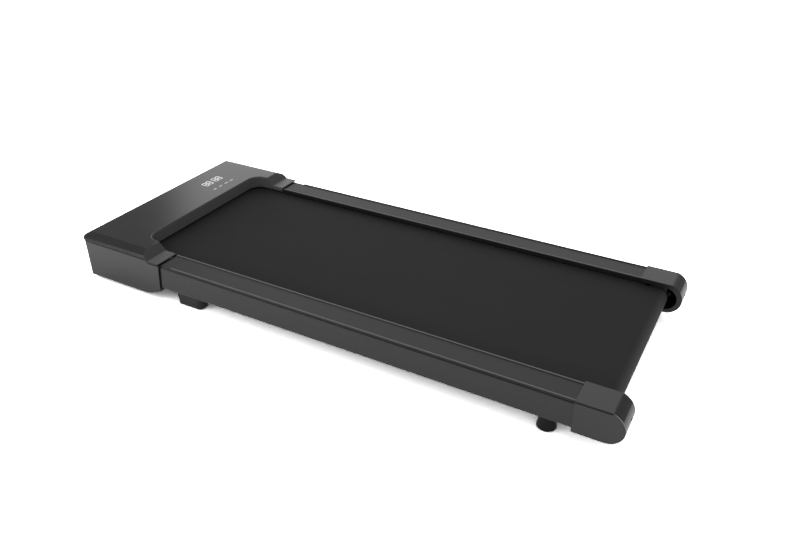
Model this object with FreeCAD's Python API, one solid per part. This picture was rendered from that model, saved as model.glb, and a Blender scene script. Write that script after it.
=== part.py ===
import FreeCAD, Part
import math
import os

from FreeCAD import Vector

# Under-desk walking pad, in millimetres. +X runs from the head to the rear end and +Z is up.
# The origin is on the floor under the middle of the machine.
# Right and left are those of the walker, who faces the head, so right is +Y.

# Whole machine
OVERALL_LENGTH = 1246.0
WALK_WIDTH = 391.2
RAIL_WIDTH = 54.4
FOOT_HEIGHT = 37.0
CHANNEL_HEIGHT = 55.0
STRIP_THICKNESS = 4.0
HOOD_RISE = 22.0
ARM_LENGTH = 85.5
CAP_LENGTH = 89.0

# Clearances shared by many pieces
RUNNING_FIT = 0.05
HOLE_FIT = 0.2
AIR_GAP = 4.0

# Side rails and foot strips
CHANNEL_WALL = 3.0
CHANNEL_ROUND = 4.0
GROOVE_HEIGHT = 2.0
GROOVE_DEPTH = 2.0
STRIP_LIP = 2.5
STRIP_LIP_DEPTH = 4.5
BEAD_RADIUS = 2.4
BEAD_PROUD = 2.0
BEAD_START = 33.0
SEAL_THICKNESS = 5.0
SEAL_SETBACK = 1.0

# Walking belt and deck
BELT_THICKNESS = 1.7
BELT_SINK = 10.0
BELT_EDGE_GAP = 4.0
BELT_CLEARANCE = 0.3
DECK_THICKNESS = 14.0
DECK_TUCK = 17.0
DECK_END_GAP = 8.0
CUSHION_HEIGHT = 4.0
CUSHION_RADIUS = 9.0
CUSHION_INSET = 9.0
CROSS_HEIGHT = 16.0
CROSS_DEPTH = 34.0
CROSS_WALL = 2.0
CROSS_COUNT = 3
CROSS_END_MARGIN = 190.0
SCREW_RADIUS = 2.5
SCREW_HEAD_RADIUS = 5.0
SCREW_HEAD_HEIGHT = 2.5
SCREW_GRIP = 4.0

# Rollers
ROLLER_RADIUS = 18.0
ROLLER_WALL = 2.5
ROLLER_OVERHANG = 1.0
SHAFT_RADIUS = 6.0
BEARING_RADIUS = 14.0
BEARING_WIDTH = 8.0
REAR_AXIS_INSET = 49.0
COVER_OVER_ROLLER = 26.5

# Rear tension gear
TENSION_INSET = 33.0
TENSION_BOLT_RADIUS = 4.0
TENSION_HEAD_RADIUS = 6.5
TENSION_HEAD_LENGTH = 8.0
TENSION_KEY_WIDTH = 6.0
TENSION_TRAVEL = 10.0
BRACKET_PLATE = 4.0
GUIDE_LENGTH = 34.0

# End caps
CAP_PROUD = 3.0
CAP_BELOW = 5.0
CAP_SIDE = 3.5
CAP_LIP = 2.5
CAP_LIP_RISE = 3.0
CAP_WALL = 11.5
CAP_FLAT_END = 25.0
CAP_EDGE = 1.2
CAP_LEDGE = 1.4
CAP_MOUTH_EDGE = 0.8
CAP_KEY_RADIUS = 6.5
CAP_SCREW_OFFSET = 22.0

# Hood
HEAD_OVERHANG = 4.5
HOOD_WALL = 3.0
SIDE_DROP = 9.0
SIDE_RUN = 20.0
FRONT_RUN = 15.0
RAMP_TOP = 48.0
RAMP_FOOT = 29.0
LAND_RISE = 3.5
LAND_RIM = 2.0
RIM_HEIGHT = 5.0
SEAM_GAP = 0.6
SEAM_LINE = 3.0
SEAM_DEPTH = 1.8
SEAM_STEP = 8.0
JOINT_LEAN = 7.0
CUTOUT_ROUND = 30.0
CUTOUT_EDGE = 2.5
RIM_ROUND = 7.0
SHOULDER_ROUND = 5.0
LAND_EDGE = 1.5
HEAD_CORNER = 16.0
APRON_GAP = 3.7
TOWER_RADIUS = 6.5
TOWER_FRONT = 15.0
TOWER_REAR = 26.0
TOWER_INSET = 25.0
TOWER_JOINT_DROP = 30.0
HOOD_SCREW_RADIUS = 2.0
HOOD_SCREW_LENGTH = 22.0
HOOD_SCREW_SEAT = 10.0

# Lower tray of the head
TRAY_CLEARANCE = 7.5
TRAY_WALL = 2.8
TRAY_SETBACK = 1.0
TRAY_FRONT_SETBACK = 2.4
TRAY_DRAFT = 2.0
TRAY_FLOOR_ROUND = 8.0
TRAY_NOSE_ROUND = 10.0
TAIL_LENGTH = 43.0
TAIL_RISE = 21.0
TAIL_ROUND = 175.0
TAIL_LEAD = 36.0
TAIL_LEAD_RISE = 6.5
VENT_COUNT = 9
VENT_PITCH = 11.0
VENT_WIDTH = 4.0
VENT_LENGTH = 30.0

# Side plates and motor base
SIDE_PLATE = 4.0
SIDE_PLATE_NOSE_GAP = 16.0
SIDE_PLATE_DROP = 13.0
SIDE_PLATE_ROUND = 8.0
BASE_PLATE = 3.0
BASE_LIFT = 7.2
BASE_DEPTH = 60.0
BASE_TAB = 25.0

# Motor and drive
MOTOR_RADIUS = 36.0
MOTOR_LENGTH = 116.0
MOTOR_WALL = 3.0
MOTOR_FRONT_GAP = 15.8
MOTOR_BELT_GAP = 8.0
MOTOR_PULLEY_GAP = 12.0
MOTOR_LIFT = 3.0
BELL_THICKNESS = 9.0
BELL_VENT_RADIUS = 4.5
BELL_VENT_COUNT = 6
MOTOR_SHAFT_RADIUS = 5.0
ARMATURE_RADIUS = 26.0
ARMATURE_LENGTH = 60.0
FAN_RADIUS = 31.0
FAN_WIDTH = 11.0
FAN_BLADES = 9
FAN_BLADE = 2.0
FAN_HUB_RADIUS = 10.0
FAN_GAP = 3.0
CRADLE_PLATE = 4.0
CRADLE_HALF_WIDTH = 28.0
CRADLE_RISE = 20.0
SADDLE_DROP = 18.0
CRADLE_SHAFT_HOLE = 13.0
MOTOR_BOLT_SPREAD = 20.0
MOTOR_BOLT_RADIUS = 2.5
PULLEY_WIDTH = 18.0
PULLEY_HUB_LENGTH = 5.0
PULLEY_HUB_RADIUS = 17.0
PULLEY_FLANGE = 1.5
PULLEY_FLANGE_RISE = 3.5
DRIVEN_RADIUS = 32.0
DRIVER_RADIUS = 11.0
DRIVEN_HOLES = 5
DRIVEN_HOLE_RADIUS = 5.0
SHAFT_ROOM = 2.5
DRIVE_BELT_THICKNESS = 2.5

# Controller and display
BOARD_THICKNESS = 1.6
BOARD_LENGTH = 150.0
BOARD_DEPTH = 64.0
BOARD_SIDE_GAP = 73.0
BOARD_LIFT = 6.0
STANDOFF_RADIUS = 3.0
STANDOFF_INSET = 6.0
CAPACITOR_RADIUS = 11.0
CAPACITOR_HEIGHT = 32.0
CAPACITOR_GAP = 4.0
CHOKE_RADIUS = 13.0
CHOKE_HEIGHT = 14.0
HEAT_SINK_HEIGHT = 38.0
HEAT_SINK_BASE = 5.0
HEAT_SINK_FIN = 2.0
HEAT_SINK_FIN_DEPTH = 16.0
HEAT_SINK_FINS = 9
DIGIT_HEIGHT = 25.0
DIGIT_ROW_LENGTH = 64.0
DIGIT_CENTRE_Y = 110.0
DIGIT_SETBACK = 48.0
DIGIT_BEZEL = 3.0
MODULE_THICKNESS = 5.0
MODULE_EDGE = 1.0
MARK_OFFSET = 38.5
DISPLAY_MARGIN = 10.0
POST_RADIUS = 3.0
POST_INSET = 5.0

# Mains panel on the nose of the tray
PANEL_HEIGHT = 52.5
PANEL_FLANGE = 1.8
PANEL_FLANGE_RIM = 2.5
INLET_INSET = 43.0
INLET_WIDTH = 27.0
INLET_HEIGHT = 20.0
INLET_DEPTH = 26.0
SOCKET_WALL = 1.6
SOCKET_DEPTH = 17.0
SOCKET_CORNER = 4.5
SOCKET_EDGE = 1.0
PIN_WIDTH = 2.0
PIN_HEIGHT = 4.0
PIN_LENGTH = 12.0
PIN_SPREAD = 7.0
PIN_OFFSET = 2.0
SWITCH_PITCH = 42.0
SWITCH_WIDTH = 13.0
SWITCH_HEIGHT = 19.0
SWITCH_DEPTH = 16.0
SWITCH_WALL = 1.2
SWITCH_WELL = 8.0
ROCKER_HALF_HEIGHT = 7.2
ROCKER_PIVOT_DEPTH = 5.0
ROCKER_CROWN = 4.6
ROCKER_VALLEY = 2.6
ROCKER_TILT = 8.0
ROCKER_PIN_RADIUS = 1.2
ROCKER_EDGE = 0.6
BREAKER_PITCH = 30.0
BREAKER_RADIUS = 8.0
BREAKER_FLANGE_RADIUS = 10.0
BREAKER_DEPTH = 30.0
BUTTON_RADIUS = 5.0
BUTTON_PROUD = 0.6
BUTTON_TRAVEL = 2.5
BUTTON_GUIDE = 10.0

# Feet
FOOT_INSET = 27.0
FRONT_FOOT_START = 21.5
FRONT_FOOT_LENGTH = 73.0
FRONT_FOOT_WIDTH = 35.0
FRONT_FOOT_ROUND = 14.0
FRONT_FOOT_DRAFT = 2.5
REAR_FOOT_SETBACK = 50.0
REAR_FOOT_RADIUS = 18.5
REAR_FOOT_TOP_RADIUS = 13.5
FOOT_EDGE = 2.0
FOOT_BOLT_RADIUS = 3.0
FOOT_BOLT_HEAD_RADIUS = 6.0
FOOT_BOLT_HEAD_HEIGHT = 4.0
FOOT_BOLT_SEAT = 18.0

# Transport wheels
WHEEL_RADIUS = 13.0
WHEEL_WIDTH = 14.0
WHEEL_EDGE = 2.0
WHEEL_CLEARANCE = 6.0
WHEEL_NOSE_GAP = 5.0
WHEEL_INSET = 42.0
WHEEL_ROOM = 2.0
WELL_WALL = 2.5
AXLE_RADIUS = 3.0

# Heights
Z_RAIL = FOOT_HEIGHT
Z_CHANNEL = Z_RAIL + CHANNEL_HEIGHT
Z_STRIP = Z_CHANNEL + STRIP_THICKNESS
Z_BELT = Z_STRIP - BELT_SINK
Z_DECK = Z_BELT - BELT_THICKNESS
Z_AXIS = Z_DECK - BELT_CLEARANCE - ROLLER_RADIUS
Z_CUSHION = Z_DECK - DECK_THICKNESS
Z_CROSS = Z_CUSHION - CUSHION_HEIGHT
Z_HOOD = Z_STRIP + HOOD_RISE
Z_RIM = Z_HOOD - SIDE_DROP
Z_LAND = Z_STRIP + LAND_RISE
Z_APRON = Z_DECK + APRON_GAP
Z_SEAM_HIGH = Z_RIM - RIM_HEIGHT
Z_SEAM_LOW = Z_LAND - LAND_RIM
Z_JOINT = Z_STRIP - TOWER_JOINT_DROP
Z_TRAY = TRAY_CLEARANCE
Z_BASE = Z_TRAY + TRAY_WALL + BASE_LIFT
Z_BASE_TOP = Z_BASE + BASE_PLATE
Z_MOTOR = Z_BASE_TOP + CRADLE_PLATE + MOTOR_LIFT + MOTOR_RADIUS
Z_BOARD = Z_BASE_TOP + BOARD_LIFT
Z_PANEL = Z_TRAY + PANEL_HEIGHT
Z_WHEEL = WHEEL_CLEARANCE + WHEEL_RADIUS

# Half widths
Y_INNER = WALK_WIDTH / 2
Y_OUTER = Y_INNER + RAIL_WIDTH
Y_WEB = Y_OUTER - CHANNEL_WALL
Y_BELT = Y_INNER - BELT_EDGE_GAP
Y_ROLLER = Y_BELT + ROLLER_OVERHANG
Y_DECK = Y_INNER + DECK_TUCK
Y_CUSHION = Y_DECK - CUSHION_INSET
Y_CAP = Y_OUTER + CAP_SIDE
Y_CAP_INNER = Y_INNER - CAP_LIP
Y_TENSION = Y_OUTER - TENSION_INSET
Y_HEAD = Y_OUTER + HEAD_OVERHANG
Y_TRAY = Y_HEAD - TRAY_SETBACK
Y_PLATE = Y_WEB - SIDE_PLATE
Y_TOWER = Y_HEAD - TOWER_INSET
Y_FOOT = Y_OUTER - FOOT_INSET
Y_WHEEL = Y_OUTER - WHEEL_INSET
Y_PULLEY = Y_ROLLER + PULLEY_HUB_LENGTH
Y_MOTOR_END = Y_PULLEY - MOTOR_PULLEY_GAP
Y_MOTOR_REAR = Y_MOTOR_END - MOTOR_LENGTH
INLET_Y = Y_PLATE - INLET_INSET
SWITCH_Y = INLET_Y - SWITCH_PITCH
BREAKER_Y = SWITCH_Y - BREAKER_PITCH

# Stations along the machine
X_FRONT = -OVERALL_LENGTH / 2
X_REAR = OVERALL_LENGTH / 2
X_NOSE = X_FRONT + TRAY_FRONT_SETBACK
X_NOSE_IN = X_NOSE + TRAY_WALL
BELT_RADIUS = ROLLER_RADIUS + BELT_CLEARANCE + BELT_THICKNESS
X_MOTOR = X_NOSE_IN + MOTOR_FRONT_GAP + MOTOR_RADIUS
X_FRONT_AXIS = X_MOTOR + MOTOR_RADIUS + MOTOR_BELT_GAP + BELT_RADIUS
X_CUTOUT = X_FRONT_AXIS + COVER_OVER_ROLLER
X_HEAD = X_CUTOUT + ARM_LENGTH
X_CAP = X_REAR - CAP_LENGTH
X_REAR_AXIS = X_REAR - REAR_AXIS_INSET
X_BRACKET = X_REAR_AXIS + TENSION_TRAVEL
X_RAIL_END = X_BRACKET + BRACKET_PLATE
X_DECK = X_FRONT_AXIS + BELT_RADIUS + DECK_END_GAP
X_DECK_END = X_REAR_AXIS - BELT_RADIUS - DECK_END_GAP
X_TOWER_FRONT = X_FRONT + TOWER_FRONT
X_TOWER_REAR = X_HEAD - TOWER_REAR
X_WHEEL = X_NOSE_IN + WHEEL_NOSE_GAP + WHEEL_RADIUS
X_WELL_END = X_WHEEL + WHEEL_RADIUS + WHEEL_ROOM + WELL_WALL
X_FOOT = X_HEAD + FRONT_FOOT_START + FRONT_FOOT_LENGTH / 2
X_REAR_FOOT = X_CAP - REAR_FOOT_SETBACK
X_CAP_SCREW = X_CAP + CAP_SCREW_OFFSET
X_DIGITS = X_FRONT + DIGIT_SETBACK + DIGIT_HEIGHT / 2
X_MARKS = X_DIGITS + MARK_OFFSET


# Plain solids and profiles


def rod_x(radius, x0, x1, y, z):
    """Cylinder along X."""
    return Part.makeCylinder(radius, x1 - x0, Vector(x0, y, z), Vector(1, 0, 0))


def rod_y(radius, y0, y1, x, z):
    """Cylinder along Y."""
    return Part.makeCylinder(radius, y1 - y0, Vector(x, y0, z), Vector(0, 1, 0))


def rod_z(radius, z0, z1, x, y):
    """Cylinder along Z."""
    return Part.makeCylinder(radius, z1 - z0, Vector(x, y, z0), Vector(0, 0, 1))


def block(x0, x1, y0, y1, z0, z1):
    """Box between two corners."""
    return Part.makeBox(x1 - x0, y1 - y0, z1 - z0, Vector(x0, y0, z0))


def rect(u0, u1, v0, v1, radius=0.0):
    """Corners of a rectangle whose corners share one rounding."""
    return [(u0, v0, radius), (u1, v0, radius), (u1, v1, radius), (u0, v1, radius)]


def edge_wire(corners, place):
    """Closed wire through (u, v, radius) corners, each rounded by its radius."""
    points = [Vector(u, v, 0) for u, v, _ in corners]
    spans = []
    for index, (_, _, radius) in enumerate(corners):
        here = points[index]
        back = (points[index - 1] - here).normalize()
        ahead = (points[(index + 1) % len(points)] - here).normalize()
        half = back.getAngle(ahead) / 2
        middle = (back + ahead).normalize() if radius else back
        reach = radius / math.tan(half)
        crown = here + middle * (radius / math.sin(half) - radius)
        spans.append((here + back * reach, crown, here + ahead * reach, radius))
    edges = []
    for index, (start, crown, end, radius) in enumerate(spans):
        if radius:
            arc = Part.Arc(place(start), place(crown), place(end))
            edges.append(arc.toShape())
        following = spans[(index + 1) % len(spans)][0]
        if end.distanceToPoint(following) > Part.Precision.confusion():
            edges.append(Part.LineSegment(place(end), place(following)).toShape())
    return Part.Wire(edges)


def prism_x(corners, x0, x1):
    """Outline in Y and Z drawn out along X."""
    wire = edge_wire(corners, lambda p: Vector(x0, p.x, p.y))
    return Part.Face(wire).extrude(Vector(x1 - x0, 0, 0))


def prism_y(corners, y0, y1):
    """Outline in X and Z drawn out along Y."""
    wire = edge_wire(corners, lambda p: Vector(p.x, y0, p.y))
    return Part.Face(wire).extrude(Vector(0, y1 - y0, 0))


def prism_z(corners, z0, z1):
    """Outline in X and Y drawn out along Z."""
    wire = edge_wire(corners, lambda p: Vector(p.x, p.y, z0))
    return Part.Face(wire).extrude(Vector(0, 0, z1 - z0))


def inset(corners, depth):
    """The same outline moved inwards by depth, with its roundings kept parallel."""
    count = len(corners)
    area = sum(corners[i - 1][0] * corners[i][1] - corners[i][0] * corners[i - 1][1] for i in range(count))
    turn = math.copysign(1.0, area)
    moved = []
    for index, (u, v, radius) in enumerate(corners):
        back = Vector(u - corners[index - 1][0], v - corners[index - 1][1], 0).normalize()
        following = corners[(index + 1) % count]
        ahead = Vector(following[0] - u, following[1] - v, 0).normalize()
        normals = (Vector(-back.y, back.x, 0) + Vector(-ahead.y, ahead.x, 0)) * turn
        shift = normals * (depth / (1 + back.dot(ahead)))
        convex = (back.x * ahead.y - back.y * ahead.x) * turn > 0
        kept = radius - depth if convex else radius + depth
        moved.append((u + shift.x, v + shift.y, max(kept, 0.0) if radius else 0.0))
    return moved


def loop_face(near, near_radius, far, far_radius, y):
    """Face bounded by two arcs and the two straight runs of a belt round two pulleys."""
    span = far - near
    along = math.atan2(span.z, span.x)
    lean = math.acos((near_radius - far_radius) / span.Length)

    def at(centre, radius, angle):
        return Vector(centre.x + radius * math.cos(angle), y, centre.z + radius * math.sin(angle))

    near_up, near_down = at(near, near_radius, along + lean), at(near, near_radius, along - lean)
    far_up, far_down = at(far, far_radius, along + lean), at(far, far_radius, along - lean)
    edges = [
        Part.LineSegment(near_down, far_down).toShape(),
        Part.Arc(far_down, at(far, far_radius, along), far_up).toShape(),
        Part.LineSegment(far_up, near_up).toShape(),
        Part.Arc(near_up, at(near, near_radius, along + math.pi), near_down).toShape(),
    ]
    return Part.Face(Part.Wire(edges))


def belt_loop(near, near_radius, far, far_radius, thickness, y0, y1):
    """Endless flat belt of one thickness round two pulleys."""
    reach = Vector(0, y1 - y0, 0)
    outer = loop_face(near, near_radius + thickness, far, far_radius + thickness, y0)
    inner = loop_face(near, near_radius, far, far_radius, y0)
    return outer.extrude(reach).cut(inner.extrude(reach))


def mirrored(shape):
    """The same piece on the other side of the machine."""
    return shape.mirror(Vector(0, 0, 0), Vector(0, 1, 0))


def both_sides(shape):
    """A group of a piece and its mirror image."""
    return Part.makeCompound([shape, mirrored(shape)])


# Side rails, foot strips and seals


def cross_stations():
    """Places along X of the deck's cross members."""
    first = X_DECK + CROSS_END_MARGIN
    last = X_DECK_END - CROSS_END_MARGIN
    return [first + (last - first) * index / (CROSS_COUNT - 1) for index in range(CROSS_COUNT)]


def joint_x(z):
    """Place along X of the head's rear edge at the height z: the joint leans forward going down."""
    return X_HEAD - JOINT_LEAN * (Z_LAND - z) / (Z_LAND - Z_RAIL)


def joint_slab(near, far):
    """Leaning slab on the right side, from near to far behind the head's rear edge."""
    bottom, top = joint_x(0), joint_x(Z_HOOD)
    outline = [(bottom + near, 0, 0), (bottom + far, 0, 0), (top + far, Z_HOOD, 0), (top + near, Z_HOOD, 0)]
    return prism_y(outline, 0, Y_HEAD)


def side_channel():
    """Right rail: a channel open to the inside, with a shadow groove under the foot strip."""
    inner = Y_INNER + STRIP_LIP
    groove = Z_CHANNEL - GROOVE_HEIGHT
    section = [
        (inner, Z_RAIL, 0), (Y_OUTER, Z_RAIL, CHANNEL_ROUND), (Y_OUTER, groove, GROOVE_DEPTH / 4),
        (Y_OUTER - GROOVE_DEPTH, groove, 0), (Y_OUTER - GROOVE_DEPTH, Z_CHANNEL, 0), (inner, Z_CHANNEL, 0),
        (inner, Z_CHANNEL - CHANNEL_WALL, 0), (Y_WEB, Z_CHANNEL - CHANNEL_WALL, 0),
        (Y_WEB, Z_RAIL + CHANNEL_WALL, 0), (inner, Z_RAIL + CHANNEL_WALL, 0),
    ]
    rail = prism_x(section, X_HEAD - JOINT_LEAN, X_RAIL_END).cut(joint_slab(-JOINT_LEAN, SEAL_THICKNESS))
    for x in foot_stations():
        rail = rail.cut(rod_z(FOOT_BOLT_RADIUS + HOLE_FIT, 0, Z_AXIS, x, Y_FOOT))
    return rail.cut(rod_z(SCREW_RADIUS + HOLE_FIT, 0, Z_AXIS, X_CAP_SCREW, Y_FOOT))


def foot_strip():
    """Right foot strip: a plate with a round bead along each edge and a lip towards the belt."""
    bead_z = Z_STRIP + BEAD_PROUD - BEAD_RADIUS
    inner_bead, outer_bead = Y_INNER + BEAD_RADIUS, Y_OUTER - BEAD_RADIUS
    section = [
        (Y_INNER, Z_CHANNEL - STRIP_LIP_DEPTH, 0), (Y_INNER + STRIP_LIP, Z_CHANNEL - STRIP_LIP_DEPTH, 0),
        (Y_INNER + STRIP_LIP, Z_CHANNEL, 0), (outer_bead, Z_CHANNEL, 0), (outer_bead, Z_STRIP, 0),
        (inner_bead, Z_STRIP, 0), (inner_bead, bead_z, 0), (Y_INNER, bead_z, 0),
    ]
    strip = prism_x(section, X_HEAD, X_CAP)
    strip = strip.fuse(rod_x(BEAD_RADIUS, X_HEAD, X_CAP, inner_bead, bead_z))
    strip = strip.fuse(rod_x(BEAD_RADIUS, X_HEAD + BEAD_START, X_CAP, outer_bead, bead_z))
    return strip.cut(joint_slab(-JOINT_LEAN, SEAL_THICKNESS)).removeSplitter()


def rail_seal():
    """Right seal between the head and the rail, open to the inside as the rail is."""
    low, high = Z_RAIL + SEAL_SETBACK, Z_STRIP - SEAL_SETBACK
    inner, outer = Y_INNER + SEAL_SETBACK, Y_OUTER - SEAL_SETBACK
    front, back = X_HEAD - JOINT_LEAN, X_HEAD + SEAL_THICKNESS
    ring = prism_x(rect(inner, outer, low, high, SEAL_SETBACK), front, back)
    opening = block(front, back, 0, Y_WEB, Z_RAIL + CHANNEL_WALL, Z_CHANNEL - CHANNEL_WALL)
    return ring.cut(opening).common(joint_slab(0, SEAL_THICKNESS))


# Inner frame


def side_plate():
    """Right plate welded in the rail, which carries the front roller and the motor base."""
    front = X_NOSE_IN + SIDE_PLATE_NOSE_GAP
    back = cross_stations()[0] - CROSS_DEPTH / 2 - AIR_GAP
    low, high = Z_RAIL + CHANNEL_WALL, Z_CHANNEL - CHANNEL_WALL
    heel = X_HEAD - TAIL_LENGTH
    sole = low - SIDE_PLATE_DROP
    outline = [
        (front, sole, SIDE_PLATE_ROUND), (heel - TAIL_LENGTH, sole, SIDE_PLATE_ROUND),
        (heel, low, SIDE_PLATE_ROUND), (back, low, 0), (back, high, 0), (front, high, SIDE_PLATE_ROUND),
    ]
    plate = prism_y(outline, Y_PLATE, Y_WEB)
    return plate.cut(rod_y(SHAFT_RADIUS + RUNNING_FIT, Y_PLATE, Y_WEB, X_FRONT_AXIS, Z_AXIS))


def motor_base():
    """Plate across the head with a turned-up tab welded to each side plate."""
    waist = Y_WHEEL - WHEEL_WIDTH / 2 - WHEEL_ROOM - WELL_WALL - AIR_GAP
    front, back = X_MOTOR - BASE_DEPTH / 2, X_MOTOR + BASE_DEPTH / 2
    clear = X_WELL_END + AIR_GAP
    outline = [
        (front, -waist, AIR_GAP), (clear, -waist, AIR_GAP), (clear, -Y_PLATE, 0), (back, -Y_PLATE, 0),
        (back, Y_PLATE, 0), (clear, Y_PLATE, 0), (clear, waist, AIR_GAP), (front, waist, AIR_GAP),
    ]
    plate = prism_z(outline, Z_BASE, Z_BASE_TOP)
    tab = block(clear, back, Y_PLATE - BASE_PLATE, Y_PLATE, Z_BASE, Z_BASE + BASE_TAB)
    return plate.fuse([tab, mirrored(tab)]).removeSplitter()


def cross_member(x):
    """Rectangular tube under the deck, welded to both rails."""
    front, back = x - CROSS_DEPTH / 2, x + CROSS_DEPTH / 2
    low = Z_CROSS - CROSS_HEIGHT
    tube = prism_y(rect(front, back, low, Z_CROSS, CROSS_WALL), -Y_WEB, Y_WEB)
    hollow = prism_y(inset(rect(front, back, low, Z_CROSS), CROSS_WALL), -Y_WEB, Y_WEB)
    tube = tube.cut(hollow)
    for y in (-Y_CUSHION, Y_CUSHION):
        tube = tube.cut(rod_z(SCREW_RADIUS, Z_CROSS - CROSS_WALL, Z_CROSS, x, y))
    return tube


# Deck and belt


def deck_holes():
    """Places of the deck's screws and cushions, outside the belt's edges."""
    return [(x, y) for x in cross_stations() for y in (-Y_CUSHION, Y_CUSHION)]


def countersink(x, y, top):
    """Flat screw head let into a face at the height top."""
    return Part.makeCone(SCREW_RADIUS, SCREW_HEAD_RADIUS, SCREW_HEAD_HEIGHT,
                         Vector(x, y, top - SCREW_HEAD_HEIGHT), Vector(0, 0, 1))


def deck_board():
    """Board that the belt slides on, with countersunk holes and eased ends."""
    ease = DECK_THICKNESS / 3
    profile = [
        (X_DECK, Z_CUSHION, 0), (X_DECK_END, Z_CUSHION, 0), (X_DECK_END, Z_DECK, ease),
        (X_DECK, Z_DECK, ease),
    ]
    board = prism_y(profile, -Y_DECK, Y_DECK)
    notch_end = X_FRONT_AXIS + DRIVEN_RADIUS + PULLEY_FLANGE_RISE + AIR_GAP
    notch = block(X_DECK, notch_end, Y_ROLLER, Y_DECK, Z_CUSHION, Z_DECK)
    board = board.cut(notch).cut(mirrored(notch))
    for x, y in deck_holes():
        board = board.cut(rod_z(SCREW_RADIUS, Z_CUSHION, Z_DECK, x, y).fuse(countersink(x, y, Z_DECK)))
    return board


def deck_cushions():
    """Rubber rings between the cross members and the deck."""
    rings = []
    for x, y in deck_holes():
        ring = rod_z(CUSHION_RADIUS, Z_CROSS, Z_CUSHION, x, y)
        rings.append(ring.cut(rod_z(SCREW_RADIUS, Z_CROSS, Z_CUSHION, x, y)))
    return Part.makeCompound(rings)


def deck_screws():
    """Countersunk screws through the deck and cushions into the cross members."""
    screws = []
    for x, y in deck_holes():
        shank = rod_z(SCREW_RADIUS, Z_CROSS - CROSS_WALL - SCREW_GRIP, Z_DECK - SCREW_HEAD_HEIGHT, x, y)
        screws.append(shank.fuse(countersink(x, y, Z_DECK)))
    return Part.makeCompound(screws)


def walking_belt():
    """Endless belt over the deck and round both rollers."""
    radius = ROLLER_RADIUS + BELT_CLEARANCE
    return belt_loop(Vector(X_FRONT_AXIS, 0, Z_AXIS), radius, Vector(X_REAR_AXIS, 0, Z_AXIS), radius,
                     BELT_THICKNESS, -Y_BELT, Y_BELT)


# Rollers


def roller_tube(x):
    """Tube with thicker ends bored for the bearings."""
    seat = 2 * BEARING_WIDTH
    tube = rod_y(ROLLER_RADIUS, -Y_ROLLER, Y_ROLLER, x, Z_AXIS)
    tube = tube.cut(rod_y(ROLLER_RADIUS - ROLLER_WALL, seat - Y_ROLLER, Y_ROLLER - seat, x, Z_AXIS))
    return tube.cut(rod_y(BEARING_RADIUS, -Y_ROLLER, Y_ROLLER, x, Z_AXIS))


def roller_bearings(x):
    """Pair of bearings pressed into the ends of a roller."""
    ring = rod_y(BEARING_RADIUS, Y_ROLLER - BEARING_WIDTH, Y_ROLLER, x, Z_AXIS)
    ring = ring.cut(rod_y(SHAFT_RADIUS + RUNNING_FIT, Y_ROLLER - BEARING_WIDTH, Y_ROLLER, x, Z_AXIS))
    return both_sides(ring)


def front_shaft():
    """Fixed shaft of the front roller, held in the side plates."""
    return rod_y(SHAFT_RADIUS, -Y_WEB, Y_WEB, X_FRONT_AXIS, Z_AXIS)


def rear_shaft_end():
    """Half length of the rear shaft, which ends past its tension bolts."""
    return Y_TENSION + 2 * TENSION_BOLT_RADIUS


def rear_shaft():
    """Fixed shaft of the rear roller, cross-bored at each end for a tension bolt."""
    half = rear_shaft_end()
    shaft = rod_y(SHAFT_RADIUS, -half, half, X_REAR_AXIS, Z_AXIS)
    front, back = X_REAR_AXIS - 2 * SHAFT_RADIUS, X_REAR_AXIS + 2 * SHAFT_RADIUS
    bore = rod_x(TENSION_BOLT_RADIUS + RUNNING_FIT, front, back, Y_TENSION, Z_AXIS)
    return shaft.cut(bore).cut(mirrored(bore))


def flanged_pulley(radius, x, z):
    """Pulley as wide as the drive belt and its clearances, with a flange at each end."""
    start, end = -Y_PULLEY - PULLEY_WIDTH, -Y_PULLEY
    pulley = rod_y(radius, start, end, x, z)
    for y in (start, end - PULLEY_FLANGE):
        pulley = pulley.fuse(rod_y(radius + PULLEY_FLANGE_RISE, y, y + PULLEY_FLANGE, x, z))
    return pulley.removeSplitter()


def driven_pulley():
    """Pulley on the left end of the front roller, flanged, with lightening holes."""
    start, end = -Y_PULLEY - PULLEY_WIDTH, -Y_PULLEY
    hub = rod_y(PULLEY_HUB_RADIUS, end, -Y_ROLLER, X_FRONT_AXIS, Z_AXIS)
    pulley = flanged_pulley(DRIVEN_RADIUS, X_FRONT_AXIS, Z_AXIS).fuse(hub)
    pulley = pulley.cut(rod_y(SHAFT_RADIUS + SHAFT_ROOM, start, -Y_ROLLER, X_FRONT_AXIS, Z_AXIS))
    ring = (PULLEY_HUB_RADIUS + DRIVEN_RADIUS) / 2
    for index in range(DRIVEN_HOLES):
        angle = 2 * math.pi * index / DRIVEN_HOLES
        x, z = X_FRONT_AXIS + ring * math.cos(angle), Z_AXIS + ring * math.sin(angle)
        pulley = pulley.cut(rod_y(DRIVEN_HOLE_RADIUS, start, end, x, z))
    return pulley.removeSplitter()


# Rear tension gear


def tension_bracket():
    """Right bracket: an end plate for the bolt and a guide plate slotted for the shaft."""
    low, high = Z_RAIL + CHANNEL_WALL, Z_CHANNEL - CHANNEL_WALL
    inner = Y_INNER + STRIP_LIP
    bolt_way = rod_x(TENSION_BOLT_RADIUS + RUNNING_FIT, X_BRACKET, X_RAIL_END, Y_TENSION, Z_AXIS)
    end_plate = block(X_BRACKET, X_RAIL_END, inner, Y_WEB, low, high).cut(bolt_way)
    guide = block(X_RAIL_END - GUIDE_LENGTH, X_BRACKET, inner, inner + BRACKET_PLATE, low, high)
    half = SHAFT_RADIUS + RUNNING_FIT
    front, back = X_REAR_AXIS - TENSION_TRAVEL - half, X_REAR_AXIS + half
    slot = block(front, back, inner, inner + BRACKET_PLATE, Z_AXIS - half, Z_AXIS + half)
    return end_plate.fuse(guide.cut(slot)).removeSplitter()


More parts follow.
